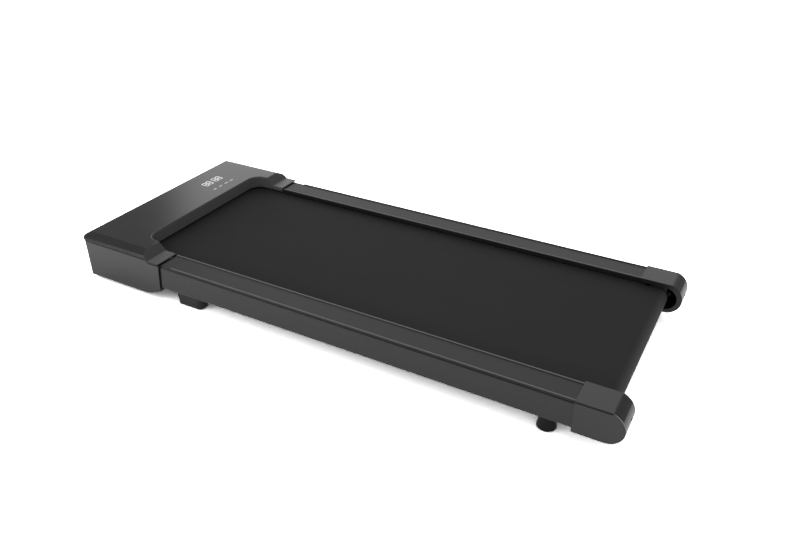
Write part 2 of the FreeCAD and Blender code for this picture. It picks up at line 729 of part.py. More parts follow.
def tension_bolt():
    """Right tension bolt: a socket head behind the end plate, its shank through the shaft."""
    head_end = X_RAIL_END + RUNNING_FIT + TENSION_HEAD_LENGTH
    shank = rod_x(TENSION_BOLT_RADIUS, X_REAR_AXIS - 2 * SHAFT_RADIUS, head_end, Y_TENSION, Z_AXIS)
    head = rod_x(TENSION_HEAD_RADIUS, X_RAIL_END + RUNNING_FIT, head_end, Y_TENSION, Z_AXIS)
    corner = TENSION_KEY_WIDTH / math.sqrt(3)
    hexagon = []
    for side in range(6):
        angle = math.pi * side / 3
        hexagon.append((Y_TENSION + corner * math.cos(angle), Z_AXIS + corner * math.sin(angle), 0))
    socket = prism_x(hexagon, head_end - TENSION_HEAD_LENGTH / 2, head_end)
    return shank.fuse(head).cut(socket).removeSplitter()


# End caps


def cap_wire(y):
    """Side outline of an end cap: flat top and bottom and a full round end."""
    high, low = Z_STRIP + CAP_PROUD, Z_RAIL - CAP_BELOW
    middle, radius = (high + low) / 2, (high - low) / 2
    upper = (CAP_FLAT_END ** 2 + radius ** 2) / (2 * CAP_FLAT_END)
    turn = math.asin(radius / upper) / 2
    crown = Vector(X_REAR - upper * (1 - math.cos(turn)), y, middle + upper * math.sin(turn))
    slant = radius * math.sqrt(0.5)
    heel = Vector(X_REAR - radius + slant, y, middle - slant)
    front_low, front_high = Vector(X_CAP, y, low), Vector(X_CAP, y, high)
    crease = Vector(X_REAR - CAP_FLAT_END, y, high)
    back = Vector(X_REAR, y, middle)
    toe = Vector(X_REAR - radius, y, low)
    edges = [
        Part.LineSegment(front_low, front_high).toShape(), Part.LineSegment(front_high, crease).toShape(),
        Part.Arc(crease, crown, back).toShape(), Part.Arc(back, heel, toe).toShape(),
        Part.LineSegment(toe, front_low).toShape(),
    ]
    return Part.Wire(edges)


def cap_pocket(low, high, y0, y1, radius):
    """Pocket open to the front with a round rear end."""
    end = X_REAR - CAP_WALL
    outline = [(X_CAP, low, 0), (end, low, radius), (end, high, radius), (X_CAP, high, 0)]
    return prism_y(outline, y0, y1)


def eased_mouth(cap, low, high):
    """Breaks the edge of the cap's open side between the heights low and high."""
    edges = []
    for edge in cap.Edges:
        box = edge.BoundBox
        level = box.YMax < Y_CAP_INNER + RUNNING_FIT
        within = box.ZMin > low - RUNNING_FIT and box.ZMax < high + RUNNING_FIT
        if level and within and box.XMax > X_CAP + RUNNING_FIT:
            edges.append(edge)
    return cap.makeChamfer(CAP_MOUTH_EDGE, edges)


def end_cap():
    """Right rear cap: a sleeve over the rail end, open towards the roller, with a key hole behind."""
    cap = Part.Face(cap_wire(Y_CAP_INNER)).extrude(Vector(0, Y_CAP - Y_CAP_INNER, 0))
    outer_edges = []
    for edge in cap.Edges:
        box = edge.BoundBox
        if abs(box.YMin - Y_CAP) < RUNNING_FIT and box.XMax > X_CAP + RUNNING_FIT:
            outer_edges.append(edge)
    cap = cap.makeFillet(CAP_EDGE, outer_edges)
    cap = cap.cut(cap_pocket(Z_RAIL, Z_CHANNEL, Y_INNER, Y_OUTER, X_REAR - CAP_WALL - X_RAIL_END))
    low, high = Z_RAIL + CAP_LIP_RISE, Z_CHANNEL - CAP_LIP_RISE
    cap = cap.cut(cap_pocket(low, high, Y_CAP_INNER, Y_INNER, (high - low) / 2))
    cap = eased_mouth(cap, low, high)
    groove_top = Z_STRIP + CAP_PROUD - CAP_LEDGE
    crease = X_REAR - CAP_FLAT_END
    groove = block(X_CAP, crease, Y_CAP - GROOVE_DEPTH, Y_CAP, groove_top - GROOVE_HEIGHT, groove_top)
    cap = cap.cut(groove)
    cap = cap.cut(rod_x(CAP_KEY_RADIUS, X_RAIL_END, X_REAR, Y_TENSION, Z_AXIS))
    return cap.cut(rod_z(SCREW_RADIUS + HOLE_FIT, 0, Z_AXIS, X_CAP_SCREW, Y_FOOT))


def cap_screws():
    """Screw under each end cap, through the cap into the rail's bottom flange."""
    low = Z_RAIL - CAP_BELOW
    head = rod_z(SCREW_HEAD_RADIUS, low - SCREW_HEAD_HEIGHT, low, X_CAP_SCREW, Y_FOOT)
    shank = rod_z(SCREW_RADIUS, low, Z_RAIL + CHANNEL_WALL + SCREW_GRIP, X_CAP_SCREW, Y_FOOT)
    return both_sides(head.fuse(shank))


# Hood and tray of the head


def body_of(side, end, plan):
    """Solid common to a side outline, an end outline and a plan outline."""
    low = min(v for _, v, _ in side)
    high = max(v for _, v, _ in side)
    left = min(v for _, v, _ in plan)
    right = max(v for _, v, _ in plan)
    front = min(u for u, _, _ in plan)
    back = max(u for u, _, _ in plan)
    return prism_y(side, left, right).common(prism_x(end, front, back)).common(prism_z(plan, low, high))


def hood_outlines(low):
    """Side, end and plan outlines of the hood, drawn down to the height low."""
    side = [
        (X_FRONT, low, 0), (X_FRONT, Z_RIM, RIM_ROUND), (X_FRONT + FRONT_RUN, Z_HOOD, SHOULDER_ROUND),
        (X_HEAD - RAMP_TOP, Z_HOOD, SHOULDER_ROUND), (X_HEAD - RAMP_FOOT, Z_LAND, SHOULDER_ROUND),
        (X_HEAD, Z_LAND, LAND_EDGE), (joint_x(low), low, 0),
    ]
    shoulder = Y_HEAD - SIDE_RUN
    end = [
        (-Y_HEAD, low, 0), (-Y_HEAD, Z_RIM, RIM_ROUND), (-shoulder, Z_HOOD, SHOULDER_ROUND),
        (shoulder, Z_HOOD, SHOULDER_ROUND), (Y_HEAD, Z_RIM, RIM_ROUND), (Y_HEAD, low, 0),
    ]
    plan = [
        (X_FRONT, -Y_HEAD, HEAD_CORNER), (X_HEAD, -Y_HEAD, 0), (X_HEAD, -Y_INNER, 0),
        (X_CUTOUT, -Y_INNER, CUTOUT_ROUND), (X_CUTOUT, Y_INNER, CUTOUT_ROUND), (X_HEAD, Y_INNER, 0),
        (X_HEAD, Y_HEAD, 0), (X_FRONT, Y_HEAD, HEAD_CORNER),
    ]
    return side, end, plan


def tower_places():
    """Places of the screw towers that join hood and tray."""
    return [(x, y) for x in (X_TOWER_FRONT, X_TOWER_REAR) for y in (-Y_TOWER, Y_TOWER)]


def display_posts():
    """Places of the posts that carry the display board."""
    x0, x1, y0, y1 = display_limits()
    return [(x, y) for x in (x0 + POST_INSET, x1 - POST_INSET) for y in (y0 + POST_INSET, y1 - POST_INSET)]


def eased_cutout(body):
    """Rounds the top edge of the hood round the belt's cut-out."""
    edges = []
    for edge in body.Edges:
        box = edge.BoundBox
        inside = box.XMin > X_CUTOUT - RUNNING_FIT and max(-box.YMin, box.YMax) < Y_INNER + RUNNING_FIT
        level = edge.Length - box.ZLength > RUNNING_FIT
        if inside and level and box.ZMin > Z_APRON + AIR_GAP:
            edges.append(edge)
    return body.makeFillet(CUTOUT_EDGE, edges)


def hood_cover():
    """Moulded hood: sloped rims, ramped arms, an apron round the belt, screw towers and display posts."""
    outer = eased_cutout(body_of(*hood_outlines(Z_APRON)))
    hollow = body_of(*[inset(outline, HOOD_WALL) for outline in hood_outlines(Z_APRON - 2 * HOOD_WALL)])
    shell = outer.cut(hollow)
    far = X_HEAD + AIR_GAP
    step = X_HEAD - RAMP_FOOT - SEAM_STEP
    below = [
        (X_FRONT - AIR_GAP, Z_APRON - AIR_GAP, 0), (far, Z_APRON - AIR_GAP, 0), (far, Z_SEAM_LOW, 0),
        (step + SEAM_STEP, Z_SEAM_LOW, 0), (step, Z_SEAM_HIGH, 0), (X_FRONT - AIR_GAP, Z_SEAM_HIGH, 0),
    ]
    apron_side = Y_INNER + HOOD_WALL + RUNNING_FIT
    apron = block(X_CUTOUT - HOOD_WALL - RUNNING_FIT, far, -apron_side, apron_side, 0, Z_HOOD)
    shell = shell.cut(prism_y(below, -Y_HEAD, Y_HEAD).cut(apron))
    solid = body_of(*hood_outlines(Z_JOINT - AIR_GAP))
    posts = [rod_z(TOWER_RADIUS, Z_JOINT, Z_HOOD, x, y).common(solid) for x, y in tower_places()]
    posts += [rod_z(POST_RADIUS, Z_HOOD - HOOD_WALL - MODULE_THICKNESS, Z_HOOD - HOOD_WALL / 2, x, y)
              for x, y in display_posts()]
    shell = shell.fuse(posts)
    screw_tip = Z_JOINT + HOOD_SCREW_LENGTH - HOOD_SCREW_SEAT
    for x, y in tower_places():
        shell = shell.cut(rod_z(HOOD_SCREW_RADIUS, Z_JOINT, screw_tip, x, y))
    return shell.removeSplitter()


def tray_outlines(rise):
    """Side, end and plan outlines of the tray, with its seam edge raised by rise."""
    high, low_seam = Z_SEAM_HIGH - SEAM_GAP + rise, Z_SEAM_LOW - SEAM_GAP + rise
    step = X_HEAD - RAMP_FOOT - SEAM_STEP
    tail, tail_end = X_HEAD - TAIL_LENGTH, Z_TRAY + TAIL_RISE
    side = [
        (X_NOSE, high, 0), (X_NOSE, Z_TRAY, TRAY_NOSE_ROUND), (tail - TAIL_LEAD, Z_TRAY, 0),
        (tail, Z_TRAY + TAIL_LEAD_RISE, TAIL_ROUND), (joint_x(tail_end), tail_end, 0),
        (joint_x(low_seam), low_seam, 0), (step + SEAM_STEP, low_seam, 0), (step, high, 0),
    ]
    foot = Y_TRAY - TRAY_DRAFT
    end = [
        (-Y_TRAY, high, 0), (-foot, Z_TRAY, TRAY_FLOOR_ROUND), (foot, Z_TRAY, TRAY_FLOOR_ROUND),
        (Y_TRAY, high, 0),
    ]
    corner = HEAD_CORNER - TRAY_SETBACK
    plan = [(X_NOSE, -Y_TRAY, corner), (X_HEAD, -Y_TRAY, 0), (X_HEAD, Y_TRAY, 0), (X_NOSE, Y_TRAY, corner)]
    return side, end, plan


def wheel_well(grow):
    """Room for the right transport wheel, grown by the wall around it."""
    room = WHEEL_ROOM + grow
    half = WHEEL_WIDTH / 2 + room
    radius = WHEEL_RADIUS + room
    outline = rect(X_WHEEL - radius, X_WHEEL + radius, 0, Z_WHEEL + radius)
    outline[2] = (X_WHEEL + radius, Z_WHEEL + radius, radius)
    outline[3] = (X_WHEEL - radius, Z_WHEEL + radius, radius)
    return prism_y(outline, Y_WHEEL - half, Y_WHEEL + half)


def seam_line(outer):
    """Shadow line round the tray's upper edge, under the hood's rim."""
    below = body_of(*tray_outlines(-SEAM_LINE))
    lip = body_of(*[inset(outline, SEAM_DEPTH) for outline in tray_outlines(4 * TRAY_WALL)])
    return outer.cut(below).cut(lip)


def motor_bay_tray():
    """Moulded tray under the head: rising tail, screw towers, wheel wells, vents and panel openings."""
    outer = body_of(*tray_outlines(0))
    hollow = body_of(*[inset(outline, TRAY_WALL) for outline in tray_outlines(4 * TRAY_WALL)])
    tray = outer.cut(hollow).cut(seam_line(outer))
    doorway = block(X_HEAD - JOINT_LEAN - 2 * TRAY_WALL, X_HEAD, -Y_OUTER, Y_OUTER, Z_RAIL - SEAL_SETBACK, Z_HOOD)
    tray = tray.cut(doorway)
    towers = [rod_z(TOWER_RADIUS, 0, Z_JOINT, x, y).common(outer) for x, y in tower_places()]
    wells = [wheel_well(WELL_WALL).common(outer)]
    wells.append(mirrored(wells[0]))
    tray = tray.fuse(towers + wells)
    for x, y in tower_places():
        tray = tray.cut(rod_z(HOOD_SCREW_RADIUS + HOLE_FIT, 0, Z_JOINT, x, y))
        tray = tray.cut(rod_z(SCREW_HEAD_RADIUS - HOLE_FIT, 0, Z_JOINT - HOOD_SCREW_SEAT, x, y))
    axle = rod_y(AXLE_RADIUS, Y_WHEEL - axle_half(), Y_WHEEL + axle_half(), X_WHEEL, Z_WHEEL)
    for tool in (wheel_well(0), axle):
        tray = tray.cut(tool).cut(mirrored(tool))
    for tool in panel_openings() + tray_vents():
        tray = tray.cut(tool)
    return tray.removeSplitter()


def tray_vents():
    """Slots in the tray's floor under the motor."""
    middle = -(Y_MOTOR_END + Y_MOTOR_REAR) / 2
    slots = []
    for index in range(VENT_COUNT):
        y = middle + (index - (VENT_COUNT - 1) / 2) * VENT_PITCH
        half = VENT_WIDTH / 2
        slot = rect(X_MOTOR - VENT_LENGTH / 2, X_MOTOR + VENT_LENGTH / 2, y - half, y + half, half)
        slots.append(prism_z(slot, 0, Z_TRAY + 2 * TRAY_WALL))
    return slots


def hood_screws():
    """Screws from below through the tray's towers into the hood."""
    screws = []
    for x, y in tower_places():
        seat = Z_JOINT - HOOD_SCREW_SEAT
        head = rod_z(SCREW_HEAD_RADIUS - 3 * HOLE_FIT, seat - SCREW_HEAD_HEIGHT, seat, x, y)
        screws.append(head.fuse(rod_z(HOOD_SCREW_RADIUS, seat, seat + HOOD_SCREW_LENGTH, x, y)))
    return Part.makeCompound(screws)


# Motor and drive


def motor_can():
    """Steel can of the motor."""
    y0, y1 = -Y_MOTOR_END + BELL_THICKNESS, -Y_MOTOR_REAR - BELL_THICKNESS
    can = rod_y(MOTOR_RADIUS, y0, y1, X_MOTOR, Z_MOTOR)
    return can.cut(rod_y(MOTOR_RADIUS - MOTOR_WALL, y0, y1, X_MOTOR, Z_MOTOR))


def end_bell(y0):
    """End bell of the motor with a shaft hole, vents and bolt holes."""
    y1 = y0 + BELL_THICKNESS
    bell = rod_y(MOTOR_RADIUS, y0, y1, X_MOTOR, Z_MOTOR)
    bell = bell.cut(rod_y(MOTOR_SHAFT_RADIUS + RUNNING_FIT, y0, y1, X_MOTOR, Z_MOTOR))
    ring = (MOTOR_RADIUS + ARMATURE_RADIUS) / 2 - BELL_VENT_RADIUS / 2
    for index in range(BELL_VENT_COUNT):
        angle = 2 * math.pi * (index + 0.5) / BELL_VENT_COUNT
        x, z = X_MOTOR + ring * math.cos(angle), Z_MOTOR + ring * math.sin(angle)
        bell = bell.cut(rod_y(BELL_VENT_RADIUS, y0, y1, x, z))
    for x in motor_bolt_stations():
        bell = bell.cut(rod_y(MOTOR_BOLT_RADIUS, y0, y1, x, Z_MOTOR))
    return bell


def motor_bolt_stations():
    """Places along X of the two bolts in the motor's drive end."""
    return (X_MOTOR - MOTOR_BOLT_SPREAD, X_MOTOR + MOTOR_BOLT_SPREAD)


def motor_bells():
    """Drive-end and rear bells of the motor."""
    return Part.makeCompound([end_bell(-Y_MOTOR_END), end_bell(-Y_MOTOR_REAR - BELL_THICKNESS)])


def motor_armature():
    """Wound core on the motor's shaft, which carries the pulley and the fan at its ends."""
    start, end = -Y_PULLEY - PULLEY_WIDTH, -Y_MOTOR_REAR + FAN_GAP + FAN_WIDTH
    shaft = rod_y(MOTOR_SHAFT_RADIUS, start, end, X_MOTOR, Z_MOTOR)
    middle = -(Y_MOTOR_END + Y_MOTOR_REAR) / 2
    half = ARMATURE_LENGTH / 2
    return shaft.fuse(rod_y(ARMATURE_RADIUS, middle - half, middle + half, X_MOTOR, Z_MOTOR))


def motor_pulley():
    """Small flanged pulley on the motor's shaft."""
    bore = rod_y(MOTOR_SHAFT_RADIUS, -Y_PULLEY - PULLEY_WIDTH, -Y_PULLEY, X_MOTOR, Z_MOTOR)
    return flanged_pulley(DRIVER_RADIUS, X_MOTOR, Z_MOTOR).cut(bore)


def motor_fan():
    """Bladed cooling fan on the rear end of the motor's shaft."""
    y0 = -Y_MOTOR_REAR + FAN_GAP
    y1 = y0 + FAN_WIDTH
    hub = rod_y(FAN_HUB_RADIUS, y0, y1, X_MOTOR, Z_MOTOR)
    disc = rod_y(FAN_RADIUS, y0, y0 + FAN_BLADE, X_MOTOR, Z_MOTOR)
    blades = []
    for index in range(FAN_BLADES):
        blade = block(X_MOTOR + FAN_HUB_RADIUS - FAN_BLADE, X_MOTOR + FAN_RADIUS - FAN_BLADE, y0, y1,
                      Z_MOTOR - FAN_BLADE / 2, Z_MOTOR + FAN_BLADE / 2)
        blade.rotate(Vector(X_MOTOR, 0, Z_MOTOR), Vector(0, 1, 0), 360.0 * index / FAN_BLADES)
        blades.append(blade)
    fan = hub.fuse([disc] + blades).removeSplitter()
    return fan.cut(rod_y(MOTOR_SHAFT_RADIUS, y0, y1, X_MOTOR, Z_MOTOR))


def motor_cradle():
    """Bracket on the base plate: a face plate bolted to the drive end and a saddle under the rear."""
    left, right = X_MOTOR - CRADLE_HALF_WIDTH, X_MOTOR + CRADLE_HALF_WIDTH
    face0 = -Y_MOTOR_END - CRADLE_PLATE
    saddle1 = -Y_MOTOR_REAR - BELL_THICKNESS
    floor = block(left, right, face0, saddle1, Z_BASE_TOP, Z_BASE_TOP + CRADLE_PLATE)
    face = prism_y(rect(left, right, Z_BASE_TOP, Z_MOTOR + CRADLE_RISE, CRADLE_PLATE), face0, -Y_MOTOR_END)
    face = face.cut(rod_y(CRADLE_SHAFT_HOLE, face0, -Y_MOTOR_END, X_MOTOR, Z_MOTOR))
    for x in motor_bolt_stations():
        face = face.cut(rod_y(MOTOR_BOLT_RADIUS, face0, -Y_MOTOR_END, x, Z_MOTOR))
    saddle = block(left, right, saddle1 - CRADLE_PLATE, saddle1, Z_BASE_TOP, Z_MOTOR - SADDLE_DROP)
    saddle = saddle.cut(rod_y(MOTOR_RADIUS, saddle1 - CRADLE_PLATE, saddle1, X_MOTOR, Z_MOTOR))
    return floor.fuse([face, saddle]).removeSplitter()


def motor_bolts():
    """Bolts through the face plate into the motor's drive end."""
    face0 = -Y_MOTOR_END - CRADLE_PLATE
    bolts = []
    for x in motor_bolt_stations():
        head = rod_y(2 * MOTOR_BOLT_RADIUS, face0 - MOTOR_BOLT_RADIUS, face0, x, Z_MOTOR)
        bolts.append(head.fuse(rod_y(MOTOR_BOLT_RADIUS, face0, -Y_MOTOR_END + BELL_THICKNESS, x, Z_MOTOR)))
    return Part.makeCompound(bolts)


def drive_belt():
    """Drive belt from the motor's pulley to the front roller's pulley."""
    start, end = -Y_PULLEY - PULLEY_WIDTH + 2 * PULLEY_FLANGE, -Y_PULLEY - 2 * PULLEY_FLANGE
    return belt_loop(Vector(X_MOTOR, 0, Z_MOTOR), DRIVER_RADIUS + BELT_CLEARANCE,
                     Vector(X_FRONT_AXIS, 0, Z_AXIS), DRIVEN_RADIUS + BELT_CLEARANCE,
                     DRIVE_BELT_THICKNESS, start, end)


# Controller and display


def board_limits():
    """Front, back, left and right edges of the controller board."""
    right = Y_PLATE - BOARD_SIDE_GAP
    return X_MOTOR - BOARD_DEPTH / 2, X_MOTOR + BOARD_DEPTH / 2, right - BOARD_LENGTH, right


def standoff_places():
    """Places of the controller board's stand-offs, over the base plate."""
    x0, x1, y0, y1 = board_limits()
    return [(x, y) for x in (x0 + STANDOFF_INSET, x1 - STANDOFF_INSET)
            for y in (y0 + STANDOFF_INSET, y1 - STANDOFF_INSET)]


def controller_board():
    """Circuit board on stand-offs over the motor base."""
    x0, x1, y0, y1 = board_limits()
    return block(x0, x1, y0, y1, Z_BOARD, Z_BOARD + BOARD_THICKNESS)


def controller_standoffs():
    """Pillars between the motor base and the controller board."""
    pillars = [rod_z(STANDOFF_RADIUS, Z_BASE_TOP, Z_BOARD, x, y) for x, y in standoff_places()]
    return Part.makeCompound(pillars)


def choke_place():
    """Place along Y of the choke, past the two capacitors."""
    _, _, y0, _ = board_limits()
    return y0 + 2 * STANDOFF_INSET + 4 * CAPACITOR_RADIUS + 2 * CAPACITOR_GAP + CHOKE_RADIUS


def controller_capacitors():
    """Two upright capacitors and a wound choke on the controller board."""
    x0, _, y0, _ = board_limits()
    top = Z_BOARD + BOARD_THICKNESS
    x = x0 + CAPACITOR_RADIUS + 2 * STANDOFF_INSET
    first = y0 + CAPACITOR_RADIUS + 2 * STANDOFF_INSET
    pitch = 2 * CAPACITOR_RADIUS + CAPACITOR_GAP
    cans = [rod_z(CAPACITOR_RADIUS, top, top + CAPACITOR_HEIGHT, x, y) for y in (first, first + pitch)]
    choke_y = choke_place()
    choke = rod_z(CHOKE_RADIUS, top, top + CHOKE_HEIGHT, x, choke_y)
    choke = choke.cut(rod_z(CHOKE_RADIUS / 2, top, top + CHOKE_HEIGHT, x, choke_y))
    return Part.makeCompound(cans + [choke])


def heat_sink():
    """Finned sink that stands along the rear edge of the controller board."""
    _, x1, _, y1 = board_limits()
    low = Z_BOARD + BOARD_THICKNESS
    back = x1 - HEAT_SINK_BASE
    start, end = choke_place() - STANDOFF_INSET, y1 - 2 * STANDOFF_INSET
    root = back - HEAT_SINK_BASE
    high = low + HEAT_SINK_HEIGHT
    sink = block(root, back, start, end, low, high)
    pitch = (end - start - HEAT_SINK_FIN) / (HEAT_SINK_FINS - 1)
    fins = []
    for index in range(HEAT_SINK_FINS):
        y = start + pitch * index
        fins.append(block(root - HEAT_SINK_FIN_DEPTH, root, y, y + HEAT_SINK_FIN, low, high))
    return sink.fuse(fins).removeSplitter()


def display_limits():
    """Front, back, left and right edges of the display board."""
    half = DIGIT_ROW_LENGTH / 2 + DIGIT_BEZEL + DISPLAY_MARGIN
    return (X_DIGITS - DIGIT_HEIGHT / 2 - DIGIT_BEZEL - DISPLAY_MARGIN, X_MARKS + DISPLAY_MARGIN,
            DIGIT_CENTRE_Y - half, DIGIT_CENTRE_Y + half)


def display_board():
    """Circuit board of the display, held on the hood's posts."""
    x0, x1, y0, y1 = display_limits()
    top = Z_HOOD - HOOD_WALL - MODULE_THICKNESS
    return block(x0, x1, y0, y1, top - BOARD_THICKNESS, top)


def digit_module():
    """Lit block of digits between the display board and the hood."""
    half_x = DIGIT_HEIGHT / 2 + DIGIT_BEZEL
    half_y = DIGIT_ROW_LENGTH / 2 + DIGIT_BEZEL
    left, right = DIGIT_CENTRE_Y - half_y, DIGIT_CENTRE_Y + half_y
    outline = rect(X_DIGITS - half_x, X_DIGITS + half_x, left, right, MODULE_EDGE)
    high = Z_HOOD - HOOD_WALL
    return prism_z(outline, high - MODULE_THICKNESS, high)


# Mains panel


def panel_frame(width, height, depth, y):
    """Body of a snap-in fitting with its flange on the outside of the tray's nose."""
    left, right = y - width / 2, y + width / 2
    low, high = Z_PANEL - height / 2, Z_PANEL + height / 2
    body = block(X_NOSE, X_NOSE + depth, left, right, low, high)
    rim = PANEL_FLANGE_RIM
    outline = rect(left - rim, right + rim, low - rim, high + rim, rim)
    return body.fuse(prism_x(outline, X_NOSE - PANEL_FLANGE, X_NOSE)).removeSplitter()


def panel_openings():
    """Openings in the tray's nose for the inlet, the switch and the breaker."""
    back = X_NOSE_IN + AIR_GAP
    tools = [rod_x(BREAKER_RADIUS + HOLE_FIT, X_FRONT, back, BREAKER_Y, Z_PANEL)]
    for y, width, height in ((INLET_Y, INLET_WIDTH, INLET_HEIGHT), (SWITCH_Y, SWITCH_WIDTH, SWITCH_HEIGHT)):
        half_y, half_z = width / 2 + HOLE_FIT, height / 2 + HOLE_FIT
        tools.append(block(X_FRONT, back, y - half_y, y + half_y, Z_PANEL - half_z, Z_PANEL + half_z))
    return tools


def power_inlet():
    """Mains inlet: a six-sided socket with three flat pins."""
    half_y, half_z = INLET_WIDTH / 2 - SOCKET_WALL, INLET_HEIGHT / 2 - SOCKET_WALL
    left, right = INLET_Y - half_y, INLET_Y + half_y
    low, high = Z_PANEL - half_z, Z_PANEL + half_z
    mouth = [
        (left, low, SOCKET_EDGE), (right, low, SOCKET_EDGE), (right, high - SOCKET_CORNER, SOCKET_EDGE),
        (right - SOCKET_CORNER, high, SOCKET_EDGE), (left + SOCKET_CORNER, high, SOCKET_EDGE),
        (left, high - SOCKET_CORNER, SOCKET_EDGE),
    ]
    floor = X_NOSE - PANEL_FLANGE + SOCKET_DEPTH
    inlet = panel_frame(INLET_WIDTH, INLET_HEIGHT, INLET_DEPTH, INLET_Y)
    inlet = inlet.cut(prism_x(mouth, X_NOSE - PANEL_FLANGE, floor))
    pins = []
    for step, rise in ((-1, -PIN_OFFSET), (0, PIN_OFFSET), (1, -PIN_OFFSET)):
        y, z = INLET_Y + step * PIN_SPREAD, Z_PANEL + rise
        pins.append(block(floor - PIN_LENGTH, floor, y - PIN_WIDTH / 2, y + PIN_WIDTH / 2,
                          z - PIN_HEIGHT / 2, z + PIN_HEIGHT / 2))
    return inlet.fuse(pins).removeSplitter()


def rocker_pivot():
    """Place along X of the rocker's pivot."""
    return X_NOSE - PANEL_FLANGE + ROCKER_PIVOT_DEPTH


def switch_body():
    """Frame of the power switch, with a well for the rocker."""
    half_y, half_z = SWITCH_WIDTH / 2 - SWITCH_WALL, SWITCH_HEIGHT / 2 - SWITCH_WALL
    body = panel_frame(SWITCH_WIDTH, SWITCH_HEIGHT, SWITCH_DEPTH, SWITCH_Y)
    left, right = SWITCH_Y - half_y, SWITCH_Y + half_y
    face = X_NOSE - PANEL_FLANGE
    well = block(face, face + SWITCH_WELL, left, right, Z_PANEL - half_z, Z_PANEL + half_z)
    pivot = rod_y(ROCKER_PIN_RADIUS, left, right, rocker_pivot(), Z_PANEL)
    return body.cut(well).fuse(pivot).removeSplitter()


def switch_rocker():
    """Rocker paddle at its off tilt, on a pivot in the switch's frame."""
    pivot = rocker_pivot()
    half = SWITCH_WIDTH / 2 - SWITCH_WALL - BELT_CLEARANCE
    left, right = SWITCH_Y - half, SWITCH_Y + half
    low, high = Z_PANEL - ROCKER_HALF_HEIGHT, Z_PANEL + ROCKER_HALF_HEIGHT
    outline = [
        (pivot - ROCKER_CROWN, low, ROCKER_EDGE), (pivot, low, ROCKER_EDGE),
        (pivot + ROCKER_VALLEY, Z_PANEL, ROCKER_HALF_HEIGHT / 2), (pivot, high, ROCKER_EDGE),
        (pivot - ROCKER_CROWN, high, ROCKER_EDGE), (pivot - ROCKER_VALLEY, Z_PANEL, ROCKER_HALF_HEIGHT),
    ]
    paddle = prism_y(outline, left, right)
    paddle = paddle.cut(rod_y(ROCKER_PIN_RADIUS + RUNNING_FIT, left, right, pivot, Z_PANEL))
    paddle.rotate(Vector(pivot, SWITCH_Y, Z_PANEL), Vector(0, 1, 0), -ROCKER_TILT)
    return paddle


def breaker_body():
    """Round breaker with a flange outside and a guide hole for its button."""
    body = rod_x(BREAKER_RADIUS, X_NOSE, X_NOSE + BREAKER_DEPTH, BREAKER_Y, Z_PANEL)
    flange = rod_x(BREAKER_FLANGE_RADIUS, X_NOSE - PANEL_FLANGE, X_NOSE, BREAKER_Y, Z_PANEL)
    guide_end = X_NOSE + BUTTON_GUIDE + BUTTON_TRAVEL + AIR_GAP
    guide = rod_x(BUTTON_RADIUS + RUNNING_FIT, X_NOSE - PANEL_FLANGE, guide_end, BREAKER_Y, Z_PANEL)
    return body.fuse(flange).removeSplitter().cut(guide)


def breaker_button():
    """Reset button, which stands a little proud of the breaker."""
    start = X_NOSE - PANEL_FLANGE - BUTTON_PROUD
    button = rod_x(BUTTON_RADIUS, start, X_NOSE + BUTTON_GUIDE, BREAKER_Y, Z_PANEL)
    tip = [edge for edge in button.Edges if edge.BoundBox.XMax < start + RUNNING_FIT]
    return button.makeChamfer(BUTTON_PROUD / 2, tip)


# Feet and wheels


def foot_stations():
    """Places along X of the front and rear feet."""
    return X_FOOT, X_REAR_FOOT


def bolt_hole(x):
    """Stepped hole for a foot's bolt."""
    hole = rod_z(FOOT_BOLT_RADIUS + HOLE_FIT, 0, Z_RAIL, x, Y_FOOT)
    return hole.fuse(rod_z(FOOT_BOLT_HEAD_RADIUS + HOLE_FIT, 0, FOOT_BOLT_SEAT, x, Y_FOOT))


def front_foot():
    """Right front foot: a long rubber block that narrows downwards."""
    top = rect(X_FOOT - FRONT_FOOT_LENGTH / 2, X_FOOT + FRONT_FOOT_LENGTH / 2,
               Y_FOOT - FRONT_FOOT_WIDTH / 2, Y_FOOT + FRONT_FOOT_WIDTH / 2, FRONT_FOOT_ROUND)
    wires = []
    for z, depth in ((0, FRONT_FOOT_DRAFT + FOOT_EDGE), (FOOT_EDGE, FRONT_FOOT_DRAFT), (Z_RAIL, 0)):
        outline = inset(top, depth) if depth else top
        wires.append(edge_wire(outline, lambda p, z=z: Vector(p.x, p.y, z)))
    return Part.makeLoft(wires, True, True).cut(bolt_hole(X_FOOT))


def rear_foot():
    """Right rear foot: a round rubber foot that widens downwards."""
    axis = Vector(0, 0, 1)
    sole = Vector(X_REAR_FOOT, Y_FOOT, 0)
    ankle = sole + axis * FOOT_EDGE
    toe = Part.makeCone(REAR_FOOT_RADIUS - FOOT_EDGE, REAR_FOOT_RADIUS, FOOT_EDGE, sole, axis)
    body = Part.makeCone(REAR_FOOT_RADIUS, REAR_FOOT_TOP_RADIUS, Z_RAIL - FOOT_EDGE, ankle, axis)
    return toe.fuse(body).cut(bolt_hole(X_REAR_FOOT))


def foot_bolts():
    """Bolts through the feet into the rails."""
    bolts = []
    low = FOOT_BOLT_SEAT - FOOT_BOLT_HEAD_HEIGHT
    flange = Z_RAIL + CHANNEL_WALL
    high = flange + FOOT_BOLT_HEAD_HEIGHT
    for x in foot_stations():
        head = rod_z(FOOT_BOLT_HEAD_RADIUS, low, FOOT_BOLT_SEAT, x, Y_FOOT)
        nut = rod_z(FOOT_BOLT_HEAD_RADIUS, flange, high, x, Y_FOOT)
        shank = rod_z(FOOT_BOLT_RADIUS, FOOT_BOLT_SEAT, high, x, Y_FOOT)
        bolt = head.fuse([nut, shank])
        bolts += [bolt, mirrored(bolt)]
    return Part.makeCompound(bolts)


